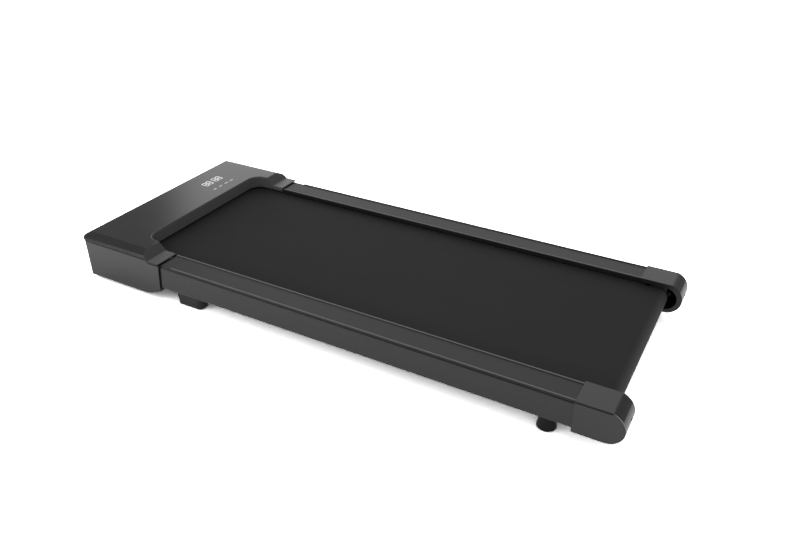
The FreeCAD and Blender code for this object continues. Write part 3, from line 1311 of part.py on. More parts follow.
def transport_wheel():
    """Right transport wheel with bevelled shoulders."""
    y0, y1 = Y_WHEEL - WHEEL_WIDTH / 2, Y_WHEEL + WHEEL_WIDTH / 2
    wheel = rod_y(WHEEL_RADIUS, y0, y1, X_WHEEL, Z_WHEEL)
    rims = [edge for edge in wheel.Edges if edge.BoundBox.YLength < RUNNING_FIT]
    wheel = wheel.makeChamfer(WHEEL_EDGE, rims)
    return wheel.cut(rod_y(AXLE_RADIUS + RUNNING_FIT, y0, y1, X_WHEEL, Z_WHEEL))


def axle_half():
    """Half length of a wheel's axle, which ends in the well's walls."""
    return WHEEL_WIDTH / 2 + WHEEL_ROOM + WELL_WALL


def wheel_axles():
    """Pins across the wheel wells."""
    return both_sides(rod_y(AXLE_RADIUS, Y_WHEEL - axle_half(), Y_WHEEL + axle_half(), X_WHEEL, Z_WHEEL))


# Assembly


def paired(name, shape):
    """Named left and right copies of a piece built on the right."""
    return {"right_" + name: shape, "left_" + name: mirrored(shape)}


def build():
    """Every piece of the machine by name."""
    pieces = {}
    pieces.update(paired("side_rail", side_channel()))
    pieces.update(paired("foot_strip", foot_strip()))
    pieces.update(paired("rail_seal", rail_seal()))
    pieces.update(paired("side_plate", side_plate()))
    pieces["motor_base"] = motor_base()
    for index, x in enumerate(cross_stations()):
        pieces["cross_member_%d" % (index + 1)] = cross_member(x)
    pieces["deck_board"] = deck_board()
    pieces["deck_cushions"] = deck_cushions()
    pieces["deck_screws"] = deck_screws()
    pieces["walking_belt"] = walking_belt()
    pieces["front_roller"] = roller_tube(X_FRONT_AXIS)
    pieces["front_bearings"] = roller_bearings(X_FRONT_AXIS)
    pieces["front_shaft"] = front_shaft()
    pieces["driven_pulley"] = driven_pulley()
    pieces["rear_roller"] = roller_tube(X_REAR_AXIS)
    pieces["rear_bearings"] = roller_bearings(X_REAR_AXIS)
    pieces["rear_shaft"] = rear_shaft()
    pieces.update(paired("tension_bracket", tension_bracket()))
    pieces.update(paired("tension_bolt", tension_bolt()))
    pieces.update(paired("end_cap", end_cap()))
    pieces["cap_screws"] = cap_screws()
    pieces["hood_cover"] = hood_cover()
    pieces["motor_bay_tray"] = motor_bay_tray()
    pieces["hood_screws"] = hood_screws()
    pieces["motor_can"] = motor_can()
    pieces["motor_bells"] = motor_bells()
    pieces["motor_armature"] = motor_armature()
    pieces["motor_pulley"] = motor_pulley()
    pieces["motor_fan"] = motor_fan()
    pieces["motor_cradle"] = motor_cradle()
    pieces["motor_bolts"] = motor_bolts()
    pieces["drive_belt"] = drive_belt()
    pieces["controller_board"] = controller_board()
    pieces["controller_standoffs"] = controller_standoffs()
    pieces["controller_capacitors"] = controller_capacitors()
    pieces["heat_sink"] = heat_sink()
    pieces["display_board"] = display_board()
    pieces["digit_module"] = digit_module()
    pieces["power_inlet"] = power_inlet()
    pieces["switch_body"] = switch_body()
    pieces["switch_rocker"] = switch_rocker()
    pieces["breaker_body"] = breaker_body()
    pieces["breaker_button"] = breaker_button()
    pieces.update(paired("front_foot", front_foot()))
    pieces.update(paired("rear_foot", rear_foot()))
    pieces["foot_bolts"] = foot_bolts()
    pieces.update(paired("transport_wheel", transport_wheel()))
    pieces["wheel_axles"] = wheel_axles()
    return pieces


os.makedirs("parts", exist_ok=True)
for node, shape in build().items():
    shape.exportStep("parts/%s.step" % node)
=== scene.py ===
"""Looks of the walking pad, in metres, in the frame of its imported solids.

The head is at -X, the open rear end at +X, and the floor at Z = 0. Each sub-assembly is a class
that builds its own pieces and dresses its nodes.
"""
import logging
import math
from dataclasses import dataclass, replace
from enum import Enum
from functools import lru_cache
from typing import Any, Optional, Sequence, Union

import bmesh
import bpy
from mathutils import Matrix, Vector
from mathutils.bvhtree import BVHTree


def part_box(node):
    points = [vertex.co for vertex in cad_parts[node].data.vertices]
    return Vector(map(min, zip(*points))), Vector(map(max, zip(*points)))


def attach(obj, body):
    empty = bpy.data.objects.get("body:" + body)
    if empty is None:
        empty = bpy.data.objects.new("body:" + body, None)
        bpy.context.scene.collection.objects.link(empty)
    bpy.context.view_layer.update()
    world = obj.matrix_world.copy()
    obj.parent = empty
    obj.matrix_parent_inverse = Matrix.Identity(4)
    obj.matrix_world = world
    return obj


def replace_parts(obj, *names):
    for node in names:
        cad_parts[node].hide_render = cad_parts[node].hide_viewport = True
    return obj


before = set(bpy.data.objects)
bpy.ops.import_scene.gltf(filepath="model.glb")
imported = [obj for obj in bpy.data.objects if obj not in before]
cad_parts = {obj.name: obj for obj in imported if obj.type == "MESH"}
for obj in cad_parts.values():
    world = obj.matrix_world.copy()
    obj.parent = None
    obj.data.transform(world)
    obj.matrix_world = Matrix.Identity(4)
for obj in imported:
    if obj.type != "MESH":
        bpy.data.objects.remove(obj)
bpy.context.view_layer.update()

log = logging.getLogger("walking_pad")

Colour = tuple[float, float, float]
Triple = tuple[float, float, float]
Spot = tuple[float, float]
Range = tuple[float, float]
Sockets = dict[str, Any]
WHITE: Colour = (1.0, 1.0, 1.0)
# Edges that turn by more than this stay sharp.
SHARP = math.radians(35.0)
# Points nearer than this, in metres, count as one.
WELD = 1e-6
# Distance outside the pad, in metres, from which its faces are looked for.
CLEAR = 1.0
# Mesh layer that holds the length run along the belt's loop.
RUN_LAYER = "run"


class Axis(Enum):
    """A direction of the frame, by its place in a vector."""

    X = 0
    Y = 1
    Z = 2


class Socket:
    """A shader node's output; an operator on it adds one Math node."""

    def __init__(self, graph: "NodeGraph", end: bpy.types.NodeSocket) -> None:
        """Keeps the output and the graph that it belongs to."""
        self.graph = graph
        self.end = end

    def __add__(self, other: "Value") -> "Socket":
        """Sum."""
        return self.graph.math("ADD", self, other)

    __radd__ = __add__

    def __sub__(self, other: "Value") -> "Socket":
        """Difference."""
        return self.graph.math("SUBTRACT", self, other)

    def __rsub__(self, other: "Value") -> "Socket":
        """Difference from a number."""
        return self.graph.math("SUBTRACT", other, self)

    def __mul__(self, other: "Value") -> "Socket":
        """Product."""
        return self.graph.math("MULTIPLY", self, other)

    __rmul__ = __mul__

    def __pow__(self, other: "Value") -> "Socket":
        """Power."""
        return self.graph.math("POWER", self, other)

    def __gt__(self, other: "Value") -> "Socket":
        """One where this value is the larger, else zero."""
        return self.graph.math("GREATER_THAN", self, other)

    def __lt__(self, other: "Value") -> "Socket":
        """One where this value is the smaller, else zero."""
        return self.graph.math("LESS_THAN", self, other)

    def __abs__(self) -> "Socket":
        """Size without the sign."""
        return self.graph.math("ABSOLUTE", self)

    def swing(self, reach: float) -> "Socket":
        """A noise's value taken to either side of zero."""
        return (self - 0.5) * reach


Value = Union[Socket, float]


class NodeGraph:
    """The nodes of one material or of the world."""

    def __init__(self, tree: bpy.types.NodeTree) -> None:
        """Starts an empty graph in the tree."""
        self.tree = tree
        tree.nodes.clear()

    def node(self, kind: str, settings: Optional[dict[str, Any]] = None,
             inputs: Optional[dict[Any, Any]] = None, output: Any = 0) -> Socket:
        """Adds a node.

        Args:
            kind: Blender's name of the node's type.
            settings: properties, such as a Math node's operation, which are set first.
            inputs: values or sockets by the name or number of the input.
            output: name or number of the output that is wanted.

        Returns:
            The wanted output.
        """
        made = self.tree.nodes.new(kind)
        for name, value in (settings or {}).items():
            setattr(made, name, value)
        for key, value in (inputs or {}).items():
            self._feed(made.inputs[key], value)
        return Socket(self, made.outputs[output])

    def _feed(self, slot: bpy.types.NodeSocket, value: Any) -> None:
        """Links a socket to an input, or sets the input's own value.

        Args:
            slot: the input.
            value: a Socket, a number, a vector or a colour.
        """
        if isinstance(value, Socket):
            self.tree.links.new(value.end, slot)
        elif slot.type == "RGBA":
            slot.default_value = (*value, 1.0)
        else:
            slot.default_value = value

    def math(self, operation: str, *values: Value) -> Socket:
        """Adds a Math node and returns its value."""
        return self.node("ShaderNodeMath", {"operation": operation}, dict(enumerate(values)))

    def vector(self, operation: str, *values: Any, output: int = 0) -> Socket:
        """Adds a Vector Math node and returns one of its outputs."""
        return self.node("ShaderNodeVectorMath", {"operation": operation}, dict(enumerate(values)), output)

    def blend(self, share: Value, low: Any, high: Any) -> Socket:
        """Mixes two colours: a share of 0 gives the first and 1 the second."""
        return self.node("ShaderNodeMix", {"data_type": "RGBA"}, {0: share, 6: low, 7: high}, 2)

    def fade(self, value: Value, span: Range) -> Socket:
        """Goes smoothly from 0 where the value is at the span's start to 1 where it is at its stop."""
        inputs = {"Value": value, "From Min": span[0], "From Max": span[1]}
        return self.node("ShaderNodeMapRange", {"interpolation_type": "SMOOTHSTEP"}, inputs)

    def place(self) -> Socket:
        """Point on the surface, in metres from the frame's origin."""
        return self.node("ShaderNodeTexCoord", output="Object")

    def run(self) -> Socket:
        """Length run along the belt's loop, kept in its mesh."""
        return self.node("ShaderNodeAttribute", {"attribute_name": RUN_LAYER}, output="Fac")

    def scaled(self, vector: Socket, times: Triple) -> Socket:
        """A vector stretched along each axis."""
        return self.vector("MULTIPLY", vector, times)

    def length(self, first: Socket, second: Socket) -> Socket:
        """Length of a step with these two parts, at right angles to each other."""
        return (first * first + second * second) ** 0.5

    def along(self, vector: Socket, axis: Axis) -> Socket:
        """One part of a vector."""
        return self.node("ShaderNodeSeparateXYZ", inputs={0: vector}, output=axis.value)

    def facing(self, axis: Axis) -> Socket:
        """How far the surface faces along an axis, from -1 to 1."""
        return self.along(self.node("ShaderNodeTexCoord", output="Normal"), axis)

    def noise(self, where: Socket, pitch: float, detail: float = 2.0) -> Socket:
        """Random values around 0.5, in soft spots of a pitch in metres, with layers of finer detail."""
        inputs = {"Vector": where, "Scale": 1.0 / pitch, "Detail": detail}
        return self.node("ShaderNodeTexNoise", None, inputs)

    def rounded(self, radius: float) -> Socket:
        """Normal with the sharp edges eased over a radius."""
        return self.node("ShaderNodeBevel", {"samples": 4}, {"Radius": radius})

    def edge_mask(self, eased: Socket) -> Socket:
        """Value that rises towards 1 on edges, from an eased normal."""
        plain = self.node("ShaderNodeNewGeometry", output="Normal")
        return 1.0 - self.vector("DOT_PRODUCT", eased, plain, output=1)

    def bump(self, height: Socket, depth: float, base: Optional[Socket] = None) -> Socket:
        """Normal with a relief.

        Args:
            height: relief from 0 to 1.
            depth: height of the relief, in metres.
            base: normal to start from.

        Returns:
            The new normal.
        """
        inputs: dict[Any, Any] = {"Strength": 1.0, "Distance": depth, "Height": height}
        if base is not None:
            inputs["Normal"] = base
        return self.node("ShaderNodeBump", None, inputs)

    def surface(self, inputs: Sockets) -> None:
        """Closes the graph with a principled surface that has these inputs."""
        self.close(self.node("ShaderNodeBsdfPrincipled", None, inputs))

    def close(self, shader: Socket, kind: str = "ShaderNodeOutputMaterial") -> None:
        """Links a shader to the output of a material or of the world."""
        made = self.tree.nodes.new(kind)
        self.tree.links.new(shader.end, made.inputs["Surface"])


def shade(colour: Colour, times: float) -> Colour:
    """The colour made lighter or darker."""
    return tuple(min(1.0, part * times) for part in colour)


@dataclass(frozen=True)
class Finish:
    """What one material of the pad looks like.

    The spread is its darkest and its palest shade, the depth the height of its relief, the edge the radius to
    which sharp edges are eased, and the gloss how much the roughness varies.
    """

    name: str
    colour: Colour
    roughness: float
    specular: float = 0.5
    spread: Range = (0.85, 1.15)
    depth: float = 0.00002
    edge: float = 0.0005
    gloss: float = 0.1

    def paint(self, graph: NodeGraph, place: Socket) -> Sockets:
        """Works out what goes into the surface's sockets; each finish has its own way."""
        raise NotImplementedError

    def tint(self, graph: NodeGraph, place: Socket, tone: Socket) -> Socket:
        """The colour where it differs from place to place; here it stays as it is."""
        return tone

    def varied(self, graph: NodeGraph, share: Value, spread: Range) -> Socket:
        """The colour, from one shade of it where the share is 0 to another where it is 1."""
        low, high = (shade(self.colour, times) for times in spread)
        return graph.blend(share, low, high)

    def shaded(self, graph: NodeGraph, share: Value, tone: Socket, times: float) -> Socket:
        """Lays another shade of the colour over a tone."""
        return graph.blend(share, tone, shade(self.colour, times))

    def relief(self, graph: NodeGraph, height: Socket) -> Socket:
        """Normal with the finish's relief and its eased edges."""
        return graph.bump(height, self.depth, graph.rounded(self.edge))


@lru_cache(maxsize=None)
def material_of(finish: Finish) -> bpy.types.Material:
    """Makes a finish's material, once.

    Args:
        finish: what it looks like.

    Returns:
        The material.
    """
    made = bpy.data.materials.new(finish.name)
    made.use_nodes = True
    graph = NodeGraph(made.node_tree)
    sockets = finish.paint(graph, graph.place())
    graph.surface({"Specular IOR Level": finish.specular, **sockets})
    return made


@dataclass(frozen=True)
class GrainedPlastic(Finish):
    """Moulded plastic with a fine eroded grain and slightly rubbed edges."""

    spread: Range = (0.88, 1.12)
    depth: float = 0.000012
    edge: float = 0.0006
    gloss: float = 0.12
    grain: float = 0.0008
    cloud: float = 0.12
    cloud_gloss: float = 0.06
    worn_edge: Range = (0.01, 0.25)
    worn_cloud: Range = (0.3, 0.75)
    worn_share: float = 0.35
    worn_shade: float = 2.6

    def polish(self, graph: NodeGraph, place: Socket) -> Value:
        """How much smoother the plastic is in places; here it is the same all over."""
        return 0.0

    def metal(self, graph: NodeGraph, place: Socket) -> Value:
        """One where metal is set into the plastic; here there is none."""
        return 0.0

    def paint(self, graph: NodeGraph, place: Socket) -> Sockets:
        """Draws the grain and the rubbed edges.

        Args:
            graph: the material's nodes.
            place: point on the surface.

        Returns:
            What goes into the surface's sockets.
        """
        cells = graph.noise(place, self.grain)
        clouds = graph.noise(place, self.cloud, detail=3.0)
        eased = graph.rounded(self.edge)
        worn = graph.fade(graph.edge_mask(eased), self.worn_edge) * graph.fade(clouds, self.worn_cloud)
        tone = self.tint(graph, place, self.varied(graph, clouds, self.spread))
        rough = self.roughness + cells.swing(self.gloss) + clouds.swing(self.cloud_gloss)
        return {
            "Base Color": self.shaded(graph, worn * self.worn_share, tone, self.worn_shade),
            "Roughness": rough - self.polish(graph, place),
            "Metallic": self.metal(graph, place),
            "Normal": graph.bump(cells, self.depth, eased),
        }


@dataclass(frozen=True)
class HoodPlastic(GrainedPlastic):
    """The hood's plastic: glossy on its level top, with painted light on its steep walls, ramps and lands,
    painted shade on its outer walls and a painted shadow at its foot.
    """

    # Painted light: the inner steep walls are painted this much paler.
    wall_painted_light: float = 5.2
    # Painted shade: the outer steep walls, at the sides and the front, are painted this much darker.
    rim: float = 0.6
    # Painted light: faces that turn to the rear, such as the ramps, are painted this much paler.
    ramp_painted_light: float = 2.2
    # Painted light: the low level lands are painted this much paler.
    land_painted_light: float = 3.6
    # Painted shadow: the shade of the colour painted along the walls' lower edge.
    base: float = 0.05
    shine: float = 0.17
    rim_side: Range = (0.235, 0.245)
    rim_front: Range = (-0.595, -0.61)
    # Heights over which the painted shadow at the walls' foot gives way to the colour.
    foot: Range = (0.0892, 0.0906)
    top: Range = (0.112, 0.117)
    lying: Range = (0.3, 0.65)
    rearwards: Range = (0.2, 0.45)
    flat: Range = (0.96, 0.99)
    level: Range = (0.985, 0.999)

    def tint(self, graph: NodeGraph, place: Socket, tone: Socket) -> Socket:
        """Paints light on the ramps, the lands and the steep walls, shade on the outer walls and a shadow
        along the walls' foot.

        Args:
            graph: the material's nodes.
            place: point on the surface.
            tone: the colour so far.

        Returns:
            The new colour.
        """
        x, y, z = (graph.along(place, axis) for axis in Axis)
        upwards = graph.facing(Axis.Z)
        outside = graph.math("MAXIMUM", graph.fade(abs(y), self.rim_side), graph.fade(x, self.rim_front))
        # Painted light and shade for the steep walls: paler inside, darker on the outer walls.
        wall = self.varied(graph, outside, (self.wall_painted_light, self.rim))
        # Painted light on faces that turn to the rear.
        tone = self.shaded(graph, graph.fade(graph.facing(Axis.X), self.rearwards), tone, self.ramp_painted_light)
        low = 1.0 - graph.fade(z, self.top)
        # Painted light on the low lands.
        tone = self.shaded(graph, graph.fade(upwards, self.flat) * low, tone, self.land_painted_light)
        tone = graph.blend(graph.fade(abs(upwards), self.lying), wall, tone)
        # Painted shadow along the walls' lower edge.
        return graph.blend(graph.fade(z, self.foot), shade(self.colour, self.base), tone)

    def polish(self, graph: NodeGraph, place: Socket) -> Value:
        """Smooths the level top."""
        high = graph.fade(graph.along(place, Axis.Z), self.top)
        return graph.fade(graph.facing(Axis.Z), self.level) * high * self.shine


@dataclass(frozen=True)
class TrayPlastic(GrainedPlastic):
    """The tray's plastic, with painted shade that darkens it towards the floor and painted light towards its
    top.
    """

    heights: Range = (0.02, 0.095)
    # Painted shade and light: shades of the colour from the walls' foot to their top.
    painted_shades: Range = (0.5, 2.8)
    mottling: float = 0.3

    def tint(self, graph: NodeGraph, place: Socket, tone: Socket) -> Socket:
        """Paints shade towards the walls' foot and light towards their top."""
        rise = graph.fade(graph.along(place, Axis.Z), self.heights)
        return graph.blend(self.mottling, self.varied(graph, rise, self.painted_shades), tone)


@dataclass(frozen=True)
class CapPlastic(GrainedPlastic):
    """End cap with a polished round end, a painted highlight on the upper rim of that end and a painted
    shadow in the bore for the tension key.
    """

    bore_centre: Spot = (0.217, 0.066)
    bore_radius: float = 0.0066
    # Painted shadow: colour painted on the wall of the key's bore.
    bore_painted_shadow: Colour = (0.001, 0.001, 0.001)
    # Painted highlight: colour painted on the upper rim of the round end.
    rim_painted_highlight: Colour = (0.36, 0.36, 0.36)
    shine: float = 0.21
    round_end: Range = (0.25, 0.5)
    rearwards: Range = (0.2, 0.4)
    upwards: Range = (0.05, 0.3)
    rim_inside: Range = (0.25, 0.45)
    rim_outside: Range = (0.75, 0.95)

    def tint(self, graph: NodeGraph, place: Socket, tone: Socket) -> Socket:
        """Paints a highlight on the upper rim of the round end and a shadow on the wall of the key's bore.

        Args:
            graph: the material's nodes.
            place: point on the surface.
            tone: the colour so far.

        Returns:
            The new colour.
        """
        rear = graph.fade(graph.facing(Axis.X), self.rearwards)
        upper = graph.fade(graph.facing(Axis.Z), self.upwards)
        beside = abs(graph.facing(Axis.Y))
        rim = graph.fade(beside, self.rim_inside) * (1.0 - graph.fade(beside, self.rim_outside))
        # Painted highlight on the upper rim of the round end.
        tone = graph.blend(rear * upper * rim, tone, self.rim_painted_highlight)
        # Painted shadow on the wall of the key's bore.
        across = abs(graph.along(place, Axis.Y)) - self.bore_centre[0]
        above = graph.along(place, Axis.Z) - self.bore_centre[1]
        return graph.blend(graph.length(across, above) < self.bore_radius, tone, self.bore_painted_shadow)

    def polish(self, graph: NodeGraph, place: Socket) -> Value:
        """Smooths the end that faces the rear."""
        return graph.fade(graph.facing(Axis.X), self.round_end) * self.shine


@dataclass(frozen=True)
class BeadLitPlastic(GrainedPlastic):
    """Foot strip with a painted highlight on the bead along each edge."""

    # Painted highlight: the beads' crests, above these heights, are painted this paler colour.
    crest: Range = (0.097, 0.0976)
    bead_painted_highlight: Colour = (0.095, 0.095, 0.097)

    def tint(self, graph: NodeGraph, place: Socket, tone: Socket) -> Socket:
        """Paints a highlight on what stands above the strip's flat top."""
        return graph.blend(graph.fade(graph.along(place, Axis.Z), self.crest), tone, self.bead_painted_highlight)


@dataclass(frozen=True)
class SocketPlastic(GrainedPlastic):
    """Mains socket with bare metal pins."""

    pins: tuple[Spot, ...] = ((0.193, 0.058), (0.2, 0.062), (0.207, 0.058))
    pin_reach: Spot = (0.0011, 0.0021)
    pin_colour: Colour = (0.6, 0.58, 0.53)

    def metal(self, graph: NodeGraph, place: Socket) -> Value:
        """Finds the pins.

        Args:
            graph: the material's nodes.
            place: point on the surface.

        Returns:
            One on the pins, else zero.
        """
        y, z = (graph.along(place, axis) for axis in (Axis.Y, Axis.Z))
        half_wide, half_tall = self.pin_reach
        return sum((abs(y - across) < half_wide) * (abs(z - up) < half_tall) for across, up in self.pins)

    def tint(self, graph: NodeGraph, place: Socket, tone: Socket) -> Socket:
        """Gives the pins the colour of bare metal."""
        return graph.blend(self.metal(graph, place), tone, self.pin_colour)


@dataclass(frozen=True)
class PowderCoat(Finish):
    """Baked powder paint: a soft orange peel with tiny specks."""

    spread: Range = (0.9, 1.1)
    edge: float = 0.0008
    peel: float = 0.0025
    cloud: float = 0.2
    speck: float = 0.0006
    speck_edge: Range = (0.62, 0.75)
    speck_share: float = 0.3
    speck_shade: float = 2.0
    speck_gloss: float = 0.06

    def paint(self, graph: NodeGraph, place: Socket) -> Sockets:
        """Draws the peel and the specks.

        Args:
            graph: the material's nodes.
            place: point on the surface.

        Returns:
            What goes into the surface's sockets.
        """
        peel = graph.noise(place, self.peel, detail=1.0)
        specks = graph.fade(graph.noise(place, self.speck, detail=1.0), self.speck_edge)
        clouds = graph.noise(place, self.cloud, detail=3.0)
        tone = self.tint(graph, place, self.varied(graph, clouds, self.spread))
        return {
            "Base Color": self.shaded(graph, specks * self.speck_share, tone, self.speck_shade),
            "Roughness": self.roughness + peel.swing(self.gloss) + specks * self.speck_gloss,
            "Normal": self.relief(graph, peel),
        }


@dataclass(frozen=True)
class RailCoat(PowderCoat):
    """Paint of the rails, with a painted highlight along their rounded upper edge."""

    # Painted highlight: the upward-turning edge is painted this much paler.
    crest: float = 3.0
    upwards: Range = (0.1, 0.4)

    def tint(self, graph: NodeGraph, place: Socket, tone: Socket) -> Socket:
        """Paints a highlight on the edge that turns upwards."""
        return self.shaded(graph, graph.fade(graph.facing(Axis.Z), self.upwards), tone, self.crest)


@dataclass(frozen=True)
class BeltFace(Finish):
    """Running face of the belt: a fine lozenge emboss in matte PVC, with its slanted joint."""

    depth: float = 0.00012
    gloss: float = 0.12
    pitch: float = 0.0026
    lean: float = 0.6
    lozenge_edge: Range = (-0.5, 0.9)
    lozenge_share: float = 0.25
    lozenge_shade: float = 1.7
    lozenge_gloss: float = 0.05
    speck: float = 0.0012
    speck_height: float = 0.5
    lane: float = 0.09
    lane_squeeze: Triple = (0.25, 1.0, 1.0)
    joint_at: float = 1.65
    joint_slant: float = 0.35
    seam: Range = (0.0003, 0.0009)
    seam_shade: float = 0.3
    weld: Range = (0.006, 0.009)
    weld_gloss: float = 0.12
    weld_flat: float = 0.7
    # Painted light: faces of the belt that turn to the rear, round the rear roller, are painted this much
    # paler.
    bend: float = 3.0
    bend_facing: Range = (0.02, 0.9)

    def paint(self, graph: NodeGraph, place: Socket) -> Sockets:
        """Draws the emboss, the lanes walked dull, the joint and painted light where the belt turns to the
        rear.

        Args:
            graph: the material's nodes.
            place: point on the surface.

        Returns:
            What goes into the surface's sockets.
        """
        run, across = graph.run(), graph.along(place, Axis.Y)
        turn = math.tau / self.pitch
        first, second = (graph.math("SINE", (run + across * lean) * turn) for lean in (self.lean, -self.lean))
        lozenge = graph.fade(first * second, self.lozenge_edge)
        specks = graph.noise(place, self.speck)
        lanes = graph.noise(graph.scaled(place, self.lane_squeeze), self.lane, detail=4.0)
        joint = abs(run - across * self.joint_slant - self.joint_at)
        seam, welded = (1.0 - graph.fade(joint, reach) for reach in (self.seam, self.weld))
        # Painted light where the belt turns to the rear.
        bend_painted_light = graph.fade(graph.facing(Axis.X), self.bend_facing)
        tone = self.varied(graph, lanes, self.spread)
        tone = self.shaded(graph, lozenge * self.lozenge_share, tone, self.lozenge_shade)
        tone = self.shaded(graph, bend_painted_light, tone, self.bend)
        rough = self.roughness + specks.swing(self.gloss) - lozenge * self.lozenge_gloss
        relief = lozenge * (1.0 - welded * self.weld_flat) + specks * self.speck_height - seam
        return {
            "Base Color": self.shaded(graph, seam, tone, self.seam_shade),
            "Roughness": rough - welded * self.weld_gloss,
            "Normal": graph.bump(relief, self.depth),
        }


@dataclass(frozen=True)
class WovenBack(Finish):
    """Inner face of the belt: plain-woven polyester."""

    spread: Range = (0.6, 1.3)
    depth: float = 0.0002
    pitch: float = 0.0011
    weave_edge: Range = (-0.8, 0.8)
    fluff: float = 0.004
    fluff_share: float = 0.4
    fluff_shade: float = 1.6

    def paint(self, graph: NodeGraph, place: Socket) -> Sockets:
        """Draws the weave and the fluff on it.

        Args:
            graph: the material's nodes.
            place: point on the surface.

        Returns:
            What goes into the surface's sockets.
        """
        ways = (graph.run(), graph.along(place, Axis.Y))
        warp, weft = (graph.math("SINE", way * (math.pi / self.pitch)) for way in ways)
        weave = graph.fade(warp * weft, self.weave_edge)
        fluff = graph.noise(place, self.fluff, detail=4.0)
        laid = fluff * self.fluff_share
        return {
            "Base Color": self.shaded(graph, laid, self.varied(graph, weave, self.spread), self.fluff_shade),
            "Roughness": self.roughness + fluff.swing(self.gloss),
            "Normal": graph.bump(weave + laid, self.depth),
        }


@dataclass(frozen=True)
class MouldedRubber(Finish):
    """Matte rubber with a dull bloom, dust towards the floor and ribs on its sole."""

    spread: Range = (0.8, 1.25)
    depth: float = 0.00005
    edge: float = 0.0007
    gloss: float = 0.15
    grain: float = 0.0015
    bloom: float = 0.03
    dust_height: Range = (0.0, 0.006)
    dust_cloud: Range = (0.35, 0.7)
    dust_share: float = 0.4
    dust_colour: Colour = (0.09, 0.088, 0.084)
    sole: Range = (-0.8, -0.95)
    rib: float = 0.003
    rib_edge: Range = (-0.4, 0.4)
    rib_height: float = 10.0

    def paint(self, graph: NodeGraph, place: Socket) -> Sockets:
        """Draws the bloom, the dust and the ribs.

        Args:
            graph: the material's nodes.
            place: point on the surface.

        Returns:
            What goes into the surface's sockets.
        """
        grain = graph.noise(place, self.grain, detail=3.0)
        bloom = graph.noise(place, self.bloom, detail=4.0)
        low = 1.0 - graph.fade(graph.along(place, Axis.Z), self.dust_height)
        dust = low * graph.fade(bloom, self.dust_cloud)
        wave = graph.math("SINE", graph.along(place, Axis.X) * (math.tau / self.rib))
        ribs = graph.fade(wave, self.rib_edge) * graph.fade(graph.facing(Axis.Z), self.sole)
        tone = self.varied(graph, bloom, self.spread)
        return {
            "Base Color": graph.blend(dust * self.dust_share, tone, self.dust_colour),
            "Roughness": self.roughness + grain.swing(self.gloss) + dust * self.gloss,
            "Normal": self.relief(graph, grain + ribs * self.rib_height),
        }


@dataclass(frozen=True)
class FacedBoard(Finish):
    """Fibreboard with a smooth dark facing and bare fibrous edges."""

    depth: float = 0.0002
    gloss: float = 0.08
    faced: Range = (0.6, 0.8)
    film: float = 0.03
    film_height: float = 0.1
    bare_colours: tuple[Colour, Colour] = ((0.102, 0.066, 0.036), (0.238, 0.154, 0.084))
    bare_gloss: float = 0.4
    fibre: float = 0.004
    fibre_squeeze: Triple = (1.0, 1.0, 8.0)

    def paint(self, graph: NodeGraph, place: Socket) -> Sockets:
        """Draws the facing's film and the fibres of the edges.

        Args:
            graph: the material's nodes.
            place: point on the surface.

        Returns:
            What goes into the surface's sockets.
        """
        faced = graph.fade(abs(graph.facing(Axis.Z)), self.faced)
        bare = 1.0 - faced
        fibres = graph.noise(graph.scaled(place, self.fibre_squeeze), self.fibre, detail=5.0)
        film = graph.noise(place, self.film, detail=3.0)
        raw = graph.blend(fibres, *self.bare_colours)
        return {
            "Base Color": graph.blend(faced, raw, self.varied(graph, film, self.spread)),
            "Roughness": self.roughness + bare * self.bare_gloss + film.swing(self.gloss),
            "Normal": graph.bump(fibres * bare + film * self.film_height, self.depth),
        }


@dataclass(frozen=True)
class TurnedMetal(Finish):
    """Machined steel with fine tool rings along its axis."""

    spread: Range = (0.8, 1.15)
    depth: float = 0.00003
    edge: float = 0.0004
    gloss: float = 0.2
    axis: Axis = Axis.Y
    ring: float = 0.0005
    ring_squeeze: float = 0.04
    stain: float = 0.025
    stain_edge: Range = (0.5, 0.8)
    stain_share: float = 0.5
    stain_shade: float = 0.6
    stain_gloss: float = 0.15

    def paint(self, graph: NodeGraph, place: Socket) -> Sockets:
        """Draws the tool rings and the stains.

        Args:
            graph: the material's nodes.
            place: point on the surface.

        Returns:
            What goes into the surface's sockets.
        """
        squeeze = tuple(1.0 if axis is self.axis else self.ring_squeeze for axis in Axis)
        rings = graph.noise(graph.scaled(place, squeeze), self.ring, detail=3.0)
        stains = graph.noise(place, self.stain, detail=4.0)
        stained = graph.fade(stains, self.stain_edge) * self.stain_share
        tone = self.varied(graph, rings, self.spread)
        return {
            "Base Color": self.shaded(graph, stained, tone, self.stain_shade),
            "Metallic": 1.0,
            "Roughness": self.roughness + rings.swing(self.gloss) + stains.swing(self.stain_gloss),
            "Normal": self.relief(graph, rings),
        }


@dataclass(frozen=True)
class PlatedSteel(Finish):
    """Zinc plate: bright, faintly mottled, with a warm passivated tint in places."""

    edge: float = 0.0003
    gloss: float = 0.25
    mottle: float = 0.004
    dulled: float = 0.85
    warmth: Triple = (1.02, 0.98, 0.86)
    spangles_per_metre: float = 900.0

    def paint(self, graph: NodeGraph, place: Socket) -> Sockets:
        """Draws the mottle and the spangles.

        Args:
            graph: the material's nodes.
            place: point on the surface.

        Returns:
            What goes into the surface's sockets.
        """
        mottle = graph.noise(place, self.mottle, detail=4.0)
        scale = self.spangles_per_metre
        spangles = graph.node("ShaderNodeTexVoronoi", None, {"Vector": place, "Scale": scale})
        warm = tuple(part * times for part, times in zip(self.colour, self.warmth))
        return {
            "Base Color": graph.blend(mottle, shade(self.colour, self.dulled), warm),
            "Metallic": 1.0,
            "Roughness": self.roughness + mottle.swing(self.gloss),
            "Normal": self.relief(graph, spangles),
        }


